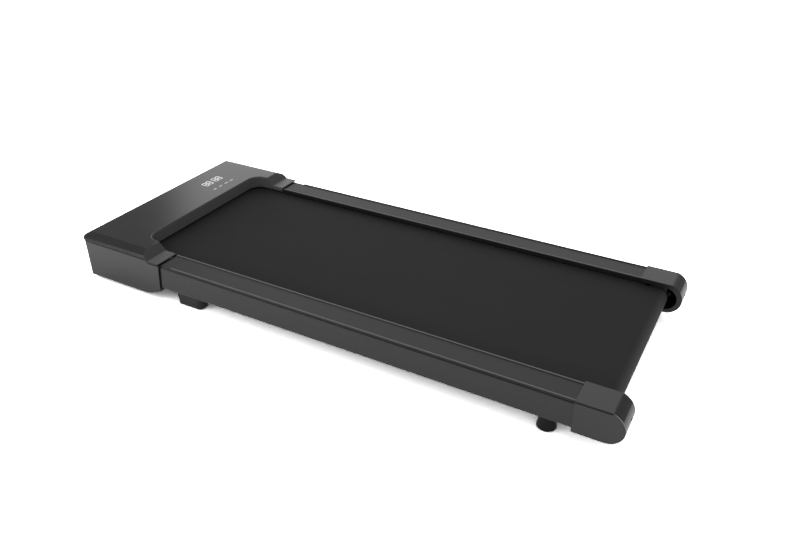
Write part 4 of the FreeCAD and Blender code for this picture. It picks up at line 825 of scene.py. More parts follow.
@dataclass(frozen=True)
class CastAlloy(Finish):
    """Die-cast aluminium: a dull skin with fine pits."""

    spread: Range = (0.8, 1.1)
    depth: float = 0.00006
    gloss: float = 0.2
    flow: float = 0.02
    flow_squeeze: Triple = (1.0, 0.3, 1.0)
    pit: float = 0.0012
    pit_edge: Range = (0.6, 0.75)
    pit_share: float = 0.5
    pit_shade: float = 0.5

    def paint(self, graph: NodeGraph, place: Socket) -> Sockets:
        """Draws the metal's flow and the pits.

        Args:
            graph: the material's nodes.
            place: point on the surface.

        Returns:
            What goes into the surface's sockets.
        """
        pits = graph.noise(place, self.pit, detail=4.0)
        flow = graph.noise(graph.scaled(place, self.flow_squeeze), self.flow, detail=3.0)
        pitted = graph.fade(pits, self.pit_edge) * self.pit_share
        return {
            "Base Color": self.shaded(graph, pitted, self.varied(graph, flow, self.spread), self.pit_shade),
            "Metallic": 1.0,
            "Roughness": self.roughness + flow.swing(self.gloss),
            "Normal": self.relief(graph, pits),
        }


@dataclass(frozen=True)
class PrintedBoard(Finish):
    """Circuit board: lacquered copper tracks and tinned pads on a glass-fibre sheet."""

    depth: float = 0.00004
    cloth: float = 0.0006
    track: float = 0.004
    track_edge: Range = (0.08, 0.12)
    track_shade: float = 1.9
    pad_edge: Range = (0.14, 0.18)
    pad_colour: Colour = (0.55, 0.55, 0.53)

    def paint(self, graph: NodeGraph, place: Socket) -> Sockets:
        """Draws the sheet's cloth, the tracks and the pads.

        Args:
            graph: the material's nodes.
            place: point on the surface.

        Returns:
            What goes into the surface's sockets.
        """
        grid = {"Vector": place, "Scale": 1.0 / self.track}
        lanes = graph.node("ShaderNodeTexVoronoi", {"feature": "DISTANCE_TO_EDGE"}, grid)
        cells = graph.node("ShaderNodeTexVoronoi", {"distance": "CHEBYCHEV"}, grid)
        tracks = 1.0 - graph.fade(lanes, self.track_edge)
        pads = 1.0 - graph.fade(cells, self.pad_edge)
        cloth = graph.noise(place, self.cloth, detail=1.0)
        tone = self.shaded(graph, tracks, self.varied(graph, cloth, self.spread), self.track_shade)
        return {
            "Base Color": graph.blend(pads, tone, self.pad_colour),
            "Metallic": pads,
            "Roughness": self.roughness + cloth.swing(self.gloss),
            "Normal": graph.bump(tracks + pads, self.depth),
        }


@dataclass(frozen=True)
class SleevedCans(Finish):
    """Capacitor cans in a printed sleeve with bare tops, and a coil of copper wire beside them."""

    depth: float = 0.0004
    gloss: float = 0.2
    sleeve: float = 0.9
    stripe: Range = (0.86, 0.9)
    stripe_colour: Colour = (0.35, 0.36, 0.38)
    top: Range = (0.7, 0.9)
    top_colour: Colour = (0.6, 0.6, 0.6)
    coil_centre: Spot = (0.0, 0.0)
    coil_start: float = 0.0
    turns: float = 46.0
    wire_edge: Range = (-0.6, 0.8)
    copper: tuple[Colour, Colour] = ((0.12, 0.035, 0.012), (0.62, 0.24, 0.1))
    blot: float = 0.006
    blot_height: float = 0.05

    def paint(self, graph: NodeGraph, place: Socket) -> Sockets:
        """Draws the sleeves, the bare tops and the turns of wire.

        Args:
            graph: the material's nodes.
            place: point on the surface.

        Returns:
            What goes into the surface's sockets.
        """
        x, y = (graph.along(place, axis) for axis in (Axis.X, Axis.Y))
        top = graph.fade(graph.facing(Axis.Z), self.top)
        stripe = graph.fade(graph.facing(Axis.X), self.stripe)
        angle = graph.math("ARCTAN2", y - self.coil_centre[1], x - self.coil_centre[0])
        wire = graph.fade(graph.math("SINE", angle * self.turns), self.wire_edge)
        coil = y > self.coil_start
        blots = graph.noise(place, self.blot, detail=3.0)
        sleeve = graph.blend(stripe, shade(self.colour, self.sleeve), self.stripe_colour)
        can = graph.blend(top, sleeve, self.top_colour)
        return {
            "Base Color": graph.blend(coil, can, graph.blend(wire, *self.copper)),
            "Metallic": top * (1.0 - coil) + coil * wire,
            "Roughness": self.roughness + blots.swing(self.gloss),
            "Normal": graph.bump(wire * coil + blots * self.blot_height, self.depth),
        }


@dataclass(frozen=True)
class RolledWheel(Finish):
    """Transport wheel: a soft tread round a harder hub."""

    spread: Range = (1.5, 0.6)
    depth: float = 0.00005
    centre: Spot = (0.0, 0.0)
    hub: Range = (0.009, 0.0094)
    tread_gloss: float = 0.2
    tread_height: float = 0.5
    grain: float = 0.001
    scuff: float = 0.005
    scuff_edge: Range = (0.5, 0.7)
    scuff_share: float = 0.3
    scuff_colour: Colour = (0.1, 0.1, 0.098)

    def paint(self, graph: NodeGraph, place: Socket) -> Sockets:
        """Draws the hub, the tread and its scuffs.

        Args:
            graph: the material's nodes.
            place: point on the surface.

        Returns:
            What goes into the surface's sockets.
        """
        x = graph.along(place, Axis.X) - self.centre[0]
        z = graph.along(place, Axis.Z) - self.centre[1]
        tread = graph.fade(graph.length(x, z), self.hub)
        grain = graph.noise(place, self.grain, detail=3.0)
        scuffs = graph.fade(graph.noise(place, self.scuff, detail=4.0), self.scuff_edge) * tread
        tone = self.varied(graph, tread, self.spread)
        return {
            "Base Color": graph.blend(scuffs * self.scuff_share, tone, self.scuff_colour),
            "Roughness": self.roughness + tread * self.tread_gloss + grain.swing(self.gloss),
            "Normal": self.relief(graph, grain + tread * self.tread_height),
        }


@dataclass(frozen=True)
class LitSegments(Finish):
    """Bars of a lit display, with a faintly uneven glow."""

    spread: Range = (0.88, 1.05)
    strength: float = 0.9
    lens_colour: Colour = (0.25, 0.25, 0.25)
    patch: float = 0.002

    def paint(self, graph: NodeGraph, place: Socket) -> Sockets:
        """Draws the glow.

        Args:
            graph: the material's nodes.
            place: point on the surface.

        Returns:
            What goes into the surface's sockets.
        """
        patches = graph.noise(place, self.patch)
        return {
            "Base Color": self.lens_colour,
            "Roughness": self.roughness + patches.swing(self.gloss),
            "Emission Color": self.varied(graph, patches, self.spread),
            "Emission Strength": self.strength,
        }


@dataclass(frozen=True)
class PrintedInk(Finish):
    """Pad-printed ink: thin, slightly uneven, matte."""

    spread: Range = (0.8, 1.0)
    depth: float = 0.00001
    gloss: float = 0.15
    grain: float = 0.0005
    cover: Range = (0.25, 0.6)

    def paint(self, graph: NodeGraph, place: Socket) -> Sockets:
        """Draws the uneven cover.

        Args:
            graph: the material's nodes.
            place: point on the surface.

        Returns:
            What goes into the surface's sockets.
        """
        grain = graph.noise(place, self.grain)
        return {
            "Base Color": self.varied(graph, graph.fade(grain, self.cover), self.spread),
            "Roughness": self.roughness + grain.swing(self.gloss),
            "Normal": graph.bump(grain, self.depth),
        }


HOOD_GRAIN = HoodPlastic("hood grain", (0.014, 0.014, 0.0145), 0.3, 0.55)
TRAY_GRAIN = TrayPlastic("tray grain", (0.014, 0.014, 0.0145), 0.34, 0.5)
CAP_GRAIN = CapPlastic("cap grain", (0.012, 0.012, 0.0125), 0.32, 0.6)
STRIP_GRAIN = BeadLitPlastic("strip grain", (0.01, 0.01, 0.0104), 0.4, 0.39)
RAIL_COAT = RailCoat("rail coat", (0.013, 0.013, 0.0135), 0.36, 0.5)
FRAME_COAT = PowderCoat("frame coat", (0.02, 0.02, 0.021), 0.45, 0.5)
MOTOR_ENAMEL = PowderCoat("motor enamel", (0.02, 0.02, 0.02), 0.3, 0.5, peel=0.004)
BELT_FACE = BeltFace("belt face", (0.014, 0.014, 0.0144), 0.66, 0.16)
BELT_BACK = WovenBack("belt back", (0.09, 0.09, 0.088), 0.85, 0.2)
FOOT_RUBBER = MouldedRubber("foot rubber", (0.012, 0.012, 0.012), 0.55, 0.4)
FOOT_POLYMER = MouldedRubber("foot polymer", (0.004, 0.004, 0.004), 0.3, 0.2)
SEAL_RUBBER = MouldedRubber("seal rubber", (0.008, 0.008, 0.008), 0.65, 0.25)
CUSHION_RUBBER = MouldedRubber("cushion rubber", (0.02, 0.02, 0.02), 0.7, 0.3)
DRIVE_RUBBER = MouldedRubber("drive belt rubber", (0.012, 0.012, 0.012), 0.6, 0.35)
DECK_BOARD = FacedBoard("deck board", (0.03, 0.027, 0.025), 0.3)
TURNED_STEEL = TurnedMetal("turned steel", (0.55, 0.55, 0.54), 0.3)
# Blackened steel, made dark also as painted shade for the parts inside the end caps.
BLACKED_AND_SHADED_STEEL = TurnedMetal("blacked steel", (0.035, 0.035, 0.036), 0.4)
BLACKED_AND_SHADED_BOLT = replace(BLACKED_AND_SHADED_STEEL, name="blacked bolt", axis=Axis.X)
PLATED_STEEL = PlatedSteel("plated steel", (0.6, 0.6, 0.6), 0.32)
CAST_ALLOY = CastAlloy("cast alloy", (0.55, 0.55, 0.56), 0.45)
FAN_PLASTIC = GrainedPlastic("fan plastic", (0.02, 0.02, 0.02), 0.45)
PANEL_PLASTIC = GrainedPlastic("panel plastic", (0.014, 0.014, 0.014), 0.42, grain=0.0005)
SOCKET_PLASTIC = SocketPlastic("socket plastic", (0.014, 0.014, 0.014), 0.42, grain=0.0005)
ROCKER_PLASTIC = GrainedPlastic("rocker plastic", (0.42, 0.012, 0.01), 0.18, grain=0.002, depth=0.000004)
BUTTON_PLASTIC = GrainedPlastic("button plastic", (0.02, 0.02, 0.02), 0.22, grain=0.002, depth=0.000004)
CIRCUIT_BOARD = PrintedBoard("circuit board", (0.012, 0.1, 0.035), 0.28)
DISPLAY_FACE = GrainedPlastic("display face", (0.6, 0.6, 0.6), 0.35, grain=0.003, depth=0.000004)
CAN_SLEEVE = SleevedCans("capacitor sleeve", (0.012, 0.018, 0.06), 0.3)
WHEEL_POLYMER = RolledWheel("transport wheel", (0.03, 0.03, 0.03), 0.45)
LIT_BARS = LitSegments("lit bars", (0.9, 0.91, 0.92), 0.35)
PALE_INK = PrintedInk("pale ink", (0.6, 0.6, 0.6), 0.5, 0.3)


def both(node: str) -> tuple[str, str]:
    """Names of the left and the right one of two like nodes."""
    return f"left_{node}", f"right_{node}"


def dress(finish: Finish, *nodes: str) -> None:
    """Gives CAD nodes a finish.

    Args:
        finish: what they get.
        nodes: their names.
    """
    for node in nodes:
        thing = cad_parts[node]
        if not thing.material_slots:
            thing.data.materials.append(None)
        for slot in thing.material_slots:
            slot.material = material_of(finish)
        log.info("dressed %s: %s", node, finish.name)


@dataclass
class Panel:
    """A flat place on the pad on which small pieces are laid."""

    origin: Vector
    right: Vector
    up: Vector

    def at(self, u: float, v: float, out: float) -> Vector:
        """Point u to the right, v up and out from the place's face."""
        return self.origin + self.right * u + self.up * v + self.right.cross(self.up) * out


class Shaper:
    """Gathers the faces of one piece and turns them into an object."""

    def __init__(self, name: str) -> None:
        """Starts an empty piece."""
        self.name = name
        self.mesh = bmesh.new()

    def rings(self, loops: Sequence[Sequence[Vector]], capped: bool = True) -> None:
        """Joins closed loops of points, each to the next.

        Args:
            loops: loops with the same number of points.
            capped: whether the first and the last loop are closed with a face.
        """
        made = [[self.mesh.verts.new(point) for point in loop] for loop in loops]
        for near, far in zip(made, made[1:]):
            for index in range(len(near)):
                after = (index + 1) % len(near)
                self.mesh.faces.new((near[index], near[after], far[after], far[index]))
        if capped:
            self.mesh.faces.new(list(reversed(made[0])))
            self.mesh.faces.new(made[-1])

    def plate(self, panel: Panel, outline: Sequence[Spot], thickness: float, ease: float) -> None:
        """Lays a thin plate with an eased upper edge.

        Args:
            panel: where it lies.
            outline: its convex outline, anticlockwise as seen from outside.
            thickness: how far it stands out.
            ease: width of the eased edge.
        """
        inner = shrunk(outline, ease)
        steps = ((outline, -thickness), (outline, thickness - ease), (inner, thickness))
        self.rings([[panel.at(u, v, out) for u, v in corners] for corners, out in steps])

    def cut(self, point: Sequence[float], across: Sequence[float]) -> None:
        """Divides the faces along a plane through a point."""
        whole = [*self.mesh.verts, *self.mesh.edges, *self.mesh.faces]
        bmesh.ops.bisect_plane(self.mesh, geom=whole, dist=WELD, plane_co=point, plane_no=across)

    def finish(self, body: str, slot: str, *finishes: Finish) -> bpy.types.Object:
        """Makes the object.

        Args:
            body: CAD body that it rides on.
            slot: the record's slot for the piece; not used.
            finishes: its materials, in the order of the faces' numbers.

        Returns:
            The new object.
        """
        bmesh.ops.recalc_face_normals(self.mesh, faces=self.mesh.faces)
        data = bpy.data.meshes.new(self.name)
        self.mesh.to_mesh(data)
        self.mesh.free()
        data.shade_smooth()
        data.set_sharp_from_angle(angle=SHARP)
        for finish in finishes:
            data.materials.append(material_of(finish))
        thing = bpy.data.objects.new(self.name, data)
        bpy.context.scene.collection.objects.link(thing)
        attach(thing, body)
        log.info("made %s: %d faces", self.name, len(data.polygons))
        return thing


def shrunk(outline: Sequence[Spot], depth: float) -> list[Spot]:
    """Moves a convex outline's sides inwards.

    Args:
        outline: anticlockwise corners.
        depth: how far each side moves.

    Returns:
        The new corners.
    """
    corners = []
    count = len(outline)
    for index in range(count):
        before, here, after = (Vector(outline[(index + step) % count]) for step in (-1, 0, 1))
        first, second = (here - before).normalized(), (after - here).normalized()
        left, right = Vector((-first.y, first.x)), Vector((-second.y, second.x))
        move = (left + right) * (depth / (1.0 + left.dot(right)))
        corners.append(tuple(here + move))
    return corners


def bar(u: float, v: float, length: float, width: float, upright: bool) -> list[Spot]:
    """Outline of one display bar with pointed ends.

    Args:
        u: place of its middle to the right.
        v: place of its middle upwards.
        length: its length between the points.
        width: its thickness.
        upright: whether it stands instead of lying.

    Returns:
        Its anticlockwise corners.
    """
    long, half = length / 2.0, width / 2.0
    flat = long - half
    corners = [(-long, 0.0), (-flat, -half), (flat, -half), (long, 0.0), (flat, half), (-flat, half)]
    if upright:
        corners = [(-y, x) for x, y in corners]
    return [(u + x, v + y) for x, y in corners]


def capsule(u: float, v: float, length: float, width: float, steps: int = 6) -> list[Spot]:
    """Outline of a short dash with round ends.

    Args:
        u: place of its middle to the right.
        v: place of its middle upwards.
        length: its whole length.
        width: its height.
        steps: parts of each round end.

    Returns:
        Its anticlockwise corners.
    """
    radius = width / 2.0
    reach = length / 2.0 - radius
    corners = []
    for side, start in ((1.0, -0.5), (-1.0, 0.5)):
        for step in range(steps + 1):
            angle = math.pi * (start + step / steps)
            corners.append((u + side * reach + radius * math.cos(angle), v + radius * math.sin(angle)))
    return corners


class Skin:
    """The outer faces of a CAD node, for laying pieces on them."""

    def __init__(self, node: str) -> None:
        """Reads the node's faces.

        Args:
            node: its name.
        """
        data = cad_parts[node].data
        points = [vertex.co for vertex in data.vertices]
        self.tree = BVHTree.FromPolygons(points, [tuple(face.vertices) for face in data.polygons])

    def panel(self, spot: Vector, towards: Vector, right: Vector) -> Panel:
        """Finds a place on the node.

        Args:
            spot: point that the line of sight goes through.
            towards: direction in which it goes.
            right: direction that is roughly to the right on the place.

        Returns:
            The place that is met first.
        """
        point, normal, _, _ = self.tree.ray_cast(spot - towards * CLEAR, towards)
        normal = normal if normal.dot(towards) < 0.0 else -normal
        up = normal.cross(right).normalized()
        return Panel(point, up.cross(normal).normalized(), up)


class Recess(Enum):
    """Shape of the hollow that a driver fits; the value is the number of its like parts."""

    CROSS = 4
    HEXAGON = 6


@dataclass
class Fasteners:
    """Upright screws of one node, head down, with their recess and thread.

    The recess's reach, floor and arm, the head's rim and the tip are shares of what they belong to.
    """

    node: str
    recess: Recess
    reach: float = 0.55
    depth: float = 0.6
    floor: float = 0.8
    arm: float = 0.27
    rim: float = 0.9
    tip: float = 0.5
    ease: float = 0.0005
    pitch: float = 0.0016
    thread: float = 0.0004
    sides: int = 48
    apart: float = 0.02

    def build(self) -> None:
        """Makes the screws in the node's place."""
        shaper = Shaper(f"{self.node}_set")
        for points in self.screws():
            self.screw(shaper, points)
        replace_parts(shaper.finish("frame", "zinc_steel", PLATED_STEEL), self.node)

    def screws(self) -> list[list[Vector]]:
        """Sorts the node's points.

        Returns:
            The points, screw by screw.
        """
        groups: list[list[Vector]] = []
        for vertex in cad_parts[self.node].data.vertices:
            near = [group for group in groups if (group[0].xy - vertex.co.xy).length < self.apart]
            if near:
                near[0].append(vertex.co)
            else:
                groups.append([vertex.co])
        return groups

    def outline(self) -> list[Vector]:
        """Draws a recess that reaches 1 from the screw's axis.

        Returns:
            Points once round it.
        """
        part = [Vector((1.0, 0.0))]
        if self.recess is Recess.CROSS:
            part = [Vector((1.0, -self.arm)), Vector((1.0, self.arm)), Vector((self.arm, self.arm))]
        count = self.recess.value
        turns = [Matrix.Rotation(math.tau * index / count, 2) for index in range(count)]
        corners = [turn @ point for turn in turns for point in part]
        cuts = self.sides // len(corners)
        points = []
        for here, after in zip(corners, corners[1:] + corners[:1]):
            points += [here.lerp(after, step / cuts) for step in range(cuts)]
        return points

    def screw(self, shaper: Shaper, points: Sequence[Vector]) -> None:
        """Adds one screw.

        Args:
            shaper: piece that takes it.
            points: the CAD screw's points.
        """
        sides = [[point[axis.value] for point in points] for axis in Axis]
        low, high = (Vector([end(side) for side in sides]) for end in (min, max))
        middle, radius = (low + high) / 2.0, (high.x - low.x) / 2.0
        spans = [((point.xy - middle.xy).length, point.z) for point in points]
        shank = max(span for span, z in spans if z > high.z - self.ease)
        seat = max(z for span, z in spans if span > self.rim * radius)
        core = shank - self.thread
        hollow = self.outline()
        circle = [point.normalized() for point in hollow]
        wide = self.reach * radius
        loops = [(hollow, self.floor * wide, low.z + self.depth * (seat - low.z)), (hollow, wide, low.z)]
        loops += [(circle, radius - self.ease, low.z), (circle, radius, low.z + self.ease)]
        loops += [(circle, radius, seat), (circle, shank, seat)]
        for turn in range(int((high.z - seat) / self.pitch) - 1):
            start = seat + self.pitch * (turn + 0.5)
            loops += [(circle, shank, start), (circle, core, start + 0.5 * self.pitch)]
        loops += [(circle, core, high.z - self.pitch), (circle, self.tip * shank, high.z)]
        rings = []
        for shape, size, z in loops:
            centre = Vector((middle.x, middle.y, z))
            rings.append([centre + point.to_3d() * size for point in shape])
        shaper.rings(rings)


@dataclass
class Head:
    """Motor hood and tray, with the display that shines through the hood."""

    digits_lit: int = 4
    digit_centre: Spot = (-0.549, 0.1112)
    digit_height: float = 0.0215
    digit_width: float = 0.0115
    digit_pitch: float = 0.0145
    pair_gap: float = 0.006
    stroke: float = 0.0018
    bar_gap: float = 0.000216
    mark_line: float = -0.5109
    marks: tuple[Spot, ...] = ((0.073, 0.084), (0.094, 0.105), (0.115, 0.128), (0.1345, 0.147))
    mark_height: float = 0.0033
    film: float = 0.00012
    corner: float = 0.016
    corner_steps: int = 10
    drop: float = 0.009
    side_run: float = 0.02
    front_run: float = 0.015
    brim_round: float = 0.007

    def build(self) -> None:
        """Dresses the head and makes the hood's skin, the display's bars and the marks."""
        dress(HOOD_GRAIN, "hood_cover")
        self.hood_skin()
        dress(TRAY_GRAIN, "motor_bay_tray")
        dress(PLATED_STEEL, "hood_screws")
        Fasteners("hood_screws", Recess.CROSS).build()
        dress(CIRCUIT_BOARD, "display_board")
        dress(DISPLAY_FACE, "digit_module")
        skin = Skin("hood_cover")
        self.digits(skin)
        self.touch_marks(skin)

    def hood_skin(self) -> None:
        """Makes the hood with its brim carried evenly round the two front corners."""
        low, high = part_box("hood_cover")
        ahead, beside = low.x + self.corner, high.y - self.corner
        shaper = Shaper("hood_cover_skin")
        shaper.mesh.from_mesh(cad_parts["hood_cover"].data)
        bmesh.ops.remove_doubles(shaper.mesh, verts=shaper.mesh.verts, dist=WELD)
        for step in range(self.corner_steps):
            reach = self.corner * step / self.corner_steps
            shaper.cut((ahead - reach, 0.0, 0.0), (1.0, 0.0, 0.0))
            for side in (-1.0, 1.0):
                shaper.cut((0.0, side * (beside + reach), 0.0), (0.0, 1.0, 0.0))
        for vertex in shaper.mesh.verts:
            forwards, outwards = ahead - vertex.co.x, abs(vertex.co.y) - beside
            if forwards > 0.0 and outwards > 0.0:
                vertex.co.z = min(vertex.co.z, high.z - self.drop + self.brim(forwards, outwards))
        piece = shaper.finish("frame", "hood_plastic", HOOD_GRAIN)
        piece.modifiers.new("even shading", "WEIGHTED_NORMAL").keep_sharp = True
        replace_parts(piece, "hood_cover")

    def brim(self, forwards: float, outwards: float) -> float:
        """Height of the brim in a front corner.

        Args:
            forwards: how far in front of the corner's centre the point is.
            outwards: how far outside the corner's centre it is.

        Returns:
            The height above the rim line, between those of the side and of the front.
        """
        inwards = max(0.0, self.corner - math.hypot(forwards, outwards))
        share = math.atan2(forwards, outwards) / (0.5 * math.pi)
        side, front = (self.slope(inwards, run) for run in (self.side_run, self.front_run))
        return side + (front - side) * share

    def slope(self, inwards: float, run: float) -> float:
        """Height of the eased slope.

        Args:
            inwards: distance from the hood's edge.
            run: length of the slope in plan.

        Returns:
            The height above the rim line.
        """
        lean = math.atan2(self.drop, run)
        if inwards > self.brim_round * (1.0 - math.sin(lean)):
            return self.drop * inwards / run
        foot = self.brim_round * math.tan(math.pi / 4.0 - lean / 2.0)
        return math.sqrt(self.brim_round ** 2 - (self.brim_round - inwards) ** 2) - foot

    def panel(self, skin: Skin, x: float, y: float) -> Panel:
        """Place on the hood's top, read by someone who stands on the belt."""
        return skin.panel(Vector((x, y, 0.0)), Vector((0.0, 0.0, -1.0)), Vector((0.0, 1.0, 0.0)))

    def digits(self, skin: Skin) -> None:
        """Makes the four lit digits, all bars on.

        Args:
            skin: the hood's faces.
        """
        panel = self.panel(skin, *self.digit_centre)
        shaper = Shaper("display_digits")
        middle = (self.digits_lit - 1) / 2.0
        for index in range(self.digits_lit):
            apart = math.copysign(self.pair_gap / 2.0, index - middle)
            self.digit(shaper, panel, (index - middle) * self.digit_pitch + apart)
        shaper.finish("frame", "display", LIT_BARS)

    def digit(self, shaper: Shaper, panel: Panel, u: float) -> None:
        """Adds one digit's seven bars.

        Args:
            shaper: piece that takes the bars.
            panel: place on the hood.
            u: the digit's middle, to the right of the place's middle.
        """
        wide = self.digit_width - self.stroke
        tall = (self.digit_height - self.stroke) / 2.0
        places = [(0.0, v, wide, False) for v in (-tall, 0.0, tall)]
        for right in (-wide / 2.0, wide / 2.0):
            places += [(right, v, tall, True) for v in (-tall / 2.0, tall / 2.0)]
        for right, v, length, upright in places:
            outline = bar(u + right, v, length - self.bar_gap, self.stroke, upright)
            shaper.plate(panel, outline, self.film, self.film / 2.0)

    def touch_marks(self, skin: Skin) -> None:
        """Makes the row of printed dashes under the digits.

        Args:
            skin: the hood's faces.
        """
        shaper = Shaper("touch_marks")
        for start, stop in self.marks:
            panel = self.panel(skin, self.mark_line, (start + stop) / 2.0)
            outline = capsule(0.0, 0.0, stop - start, self.mark_height)
            shaper.plate(panel, outline, self.film, self.film / 2.0)
        shaper.finish("frame", "display", PALE_INK)


@dataclass
class SideRails:
    """The two long rails, their foot strips and the steel frame between them."""

    cross_members: int = 3

    def build(self) -> None:
        """Dresses the rails and the frame."""
        dress(RAIL_COAT, *both("side_rail"))
        dress(STRIP_GRAIN, *both("foot_strip"))
        dress(SEAL_RUBBER, *both("rail_seal"))
        members = [f"cross_member_{index + 1}" for index in range(self.cross_members)]
        dress(FRAME_COAT, *both("side_plate"), "motor_base", *members)


@dataclass
class WalkingSurface:
    """Deck, cushions and the belt round the two rollers."""

    thickness: float = 0.0017
    edge_round: float = 0.0005
    edge_steps: int = 4
    arc_steps: int = 32
    run_steps: int = 24
    cells_across: int = 6

    def build(self) -> None:
        """Dresses the deck and makes the belt."""
        dress(DECK_BOARD, "deck_board")
        dress(CUSHION_RUBBER, "deck_cushions")
        dress(PLATED_STEEL, "deck_screws")
        self.belt()

    def stations(self, low: Vector, high: Vector) -> list[tuple[Vector, Vector, float]]:
        """Points round the loop, outside the belt.

        Args:
            low: lowest corner of the belt.
            high: highest corner of the belt.

        Returns:
            For each station its point, the outward direction and the length run so far.
        """
        radius = (high.z - low.z) / 2.0
        middle = (high.z + low.z) / 2.0
        front, rear = low.x + radius, high.x - radius
        span, arc = rear - front, math.pi * radius
        made = []
        for centre, start, sign, run in ((front, 0.5, 1.0, 0.0), (rear, -0.5, -1.0, span + arc)):
            for step in range(self.run_steps):
                share = step / self.run_steps
                out = Vector((0.0, 0.0, sign))
                point = Vector((centre + sign * span * share, 0.0, middle + sign * radius))
                made.append((point, out, run + span * share))
            far = rear if sign > 0.0 else front
            for step in range(self.arc_steps):
                share = step / self.arc_steps
                angle = math.pi * (start - share)
                out = Vector((math.cos(angle), 0.0, math.sin(angle)))
                made.append((Vector((far, 0.0, middle)) + out * radius, out, run + span + arc * share))
        return made

    def section(self, half: float) -> list[Spot]:
        """Outline of the belt's section.

        Args:
            half: half of the belt's width.

        Returns:
            Places across the belt and depths below its outer face, once round.
        """
        flat = half - self.edge_round
        cell = 2.0 * flat / self.cells_across
        outer = [(flat - cell * step, 0.0) for step in range(self.cells_across + 1)]
        bend = []
        for step in range(1, self.edge_steps):
            angle = 0.5 * math.pi * step / self.edge_steps
            across, down = math.sin(angle), 1.0 - math.cos(angle)
            bend.append((-flat - self.edge_round * across, self.edge_round * down))
        side = [(-half, self.edge_round), (-half, self.thickness - self.edge_round)]
        inner_bend = [(y, self.thickness - depth) for y, depth in reversed(bend)]
        top = outer + bend + side + inner_bend
        return top + [(-y, self.thickness - depth) for y, depth in top]

    def belt(self) -> None:
        """Makes the belt's loop with its length run on each face's corners."""
        low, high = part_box("walking_belt")
        stations = self.stations(low, high)
        section = self.section((high.y - low.y) / 2.0)
        length = 2.0 * (high.x - low.x - (high.z - low.z)) + math.pi * (high.z - low.z)
        shaper = Shaper("walking_belt_skin")
        run = shaper.mesh.loops.layers.float.new(RUN_LAYER)
        rings = []
        for point, out, _ in stations:
            points = [point - out * depth + Vector((0.0, y, 0.0)) for y, depth in section]
            rings.append([shaper.mesh.verts.new(spot) for spot in points])
        half = len(section) // 2
        for index, ring in enumerate(rings):
            after = rings[(index + 1) % len(rings)]
            start = stations[index][2]
            stop = stations[index + 1][2] if index + 1 < len(stations) else length
            for place in range(len(section)):
                beyond = (place + 1) % len(section)
                face = shaper.mesh.faces.new((ring[place], ring[beyond], after[beyond], after[place]))
                face.material_index = 1 if half <= place < half + self.cells_across else 0
                for corner, value in zip(face.loops, (start, start, stop, stop)):
                    corner[run] = value
        piece = shaper.finish("frame", "belt_rubber", BELT_FACE, BELT_BACK)
        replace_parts(piece, "walking_belt")


@dataclass
class RearEnd:
    """Rear roller, its tension screws and the two end caps."""

    def build(self) -> None:
        """Dresses the rear end."""
        dress(CAP_GRAIN, *both("end_cap"))
        dress(TURNED_STEEL, "rear_roller")
        # Dark steel inside the end caps: blackened, and painted shade for their hollow.
        dress(BLACKED_AND_SHADED_STEEL, "rear_shaft", "rear_bearings")
        dress(FRAME_COAT, *both("tension_bracket"))
        dress(BLACKED_AND_SHADED_BOLT, *both("tension_bolt"))
        dress(PLATED_STEEL, "cap_screws")
        Fasteners("cap_screws", Recess.CROSS).build()


@dataclass
class Drive:
    """Motor, drive belt and front roller under the hood."""

    def build(self) -> None:
        """Dresses the drive."""
        dress(TURNED_STEEL, "front_roller", "front_bearings", "front_shaft", "motor_armature")
        dress(CAST_ALLOY, "driven_pulley", "motor_pulley", "motor_bells")
        dress(MOTOR_ENAMEL, "motor_can")
        dress(FAN_PLASTIC, "motor_fan")
        dress(FRAME_COAT, "motor_cradle")
        dress(PLATED_STEEL, "motor_bolts")
        dress(DRIVE_RUBBER, "drive_belt")


@dataclass
class Electronics:
    """Controller board with its parts."""

    can_share: float = 0.62

    def build(self) -> None:
        """Dresses the controller."""
        dress(CIRCUIT_BOARD, "controller_board")
        dress(PLATED_STEEL, "controller_standoffs")
        dress(CAST_ALLOY, "heat_sink")
        low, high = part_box("controller_capacitors")
        middle = ((low.x + high.x) / 2.0, high.y - (high.x - low.x) / 2.0)
        start = low.y + (high.y - low.y) * self.can_share
        cans = replace(CAN_SLEEVE, coil_centre=middle, coil_start=start)
        dress(cans, "controller_capacitors")


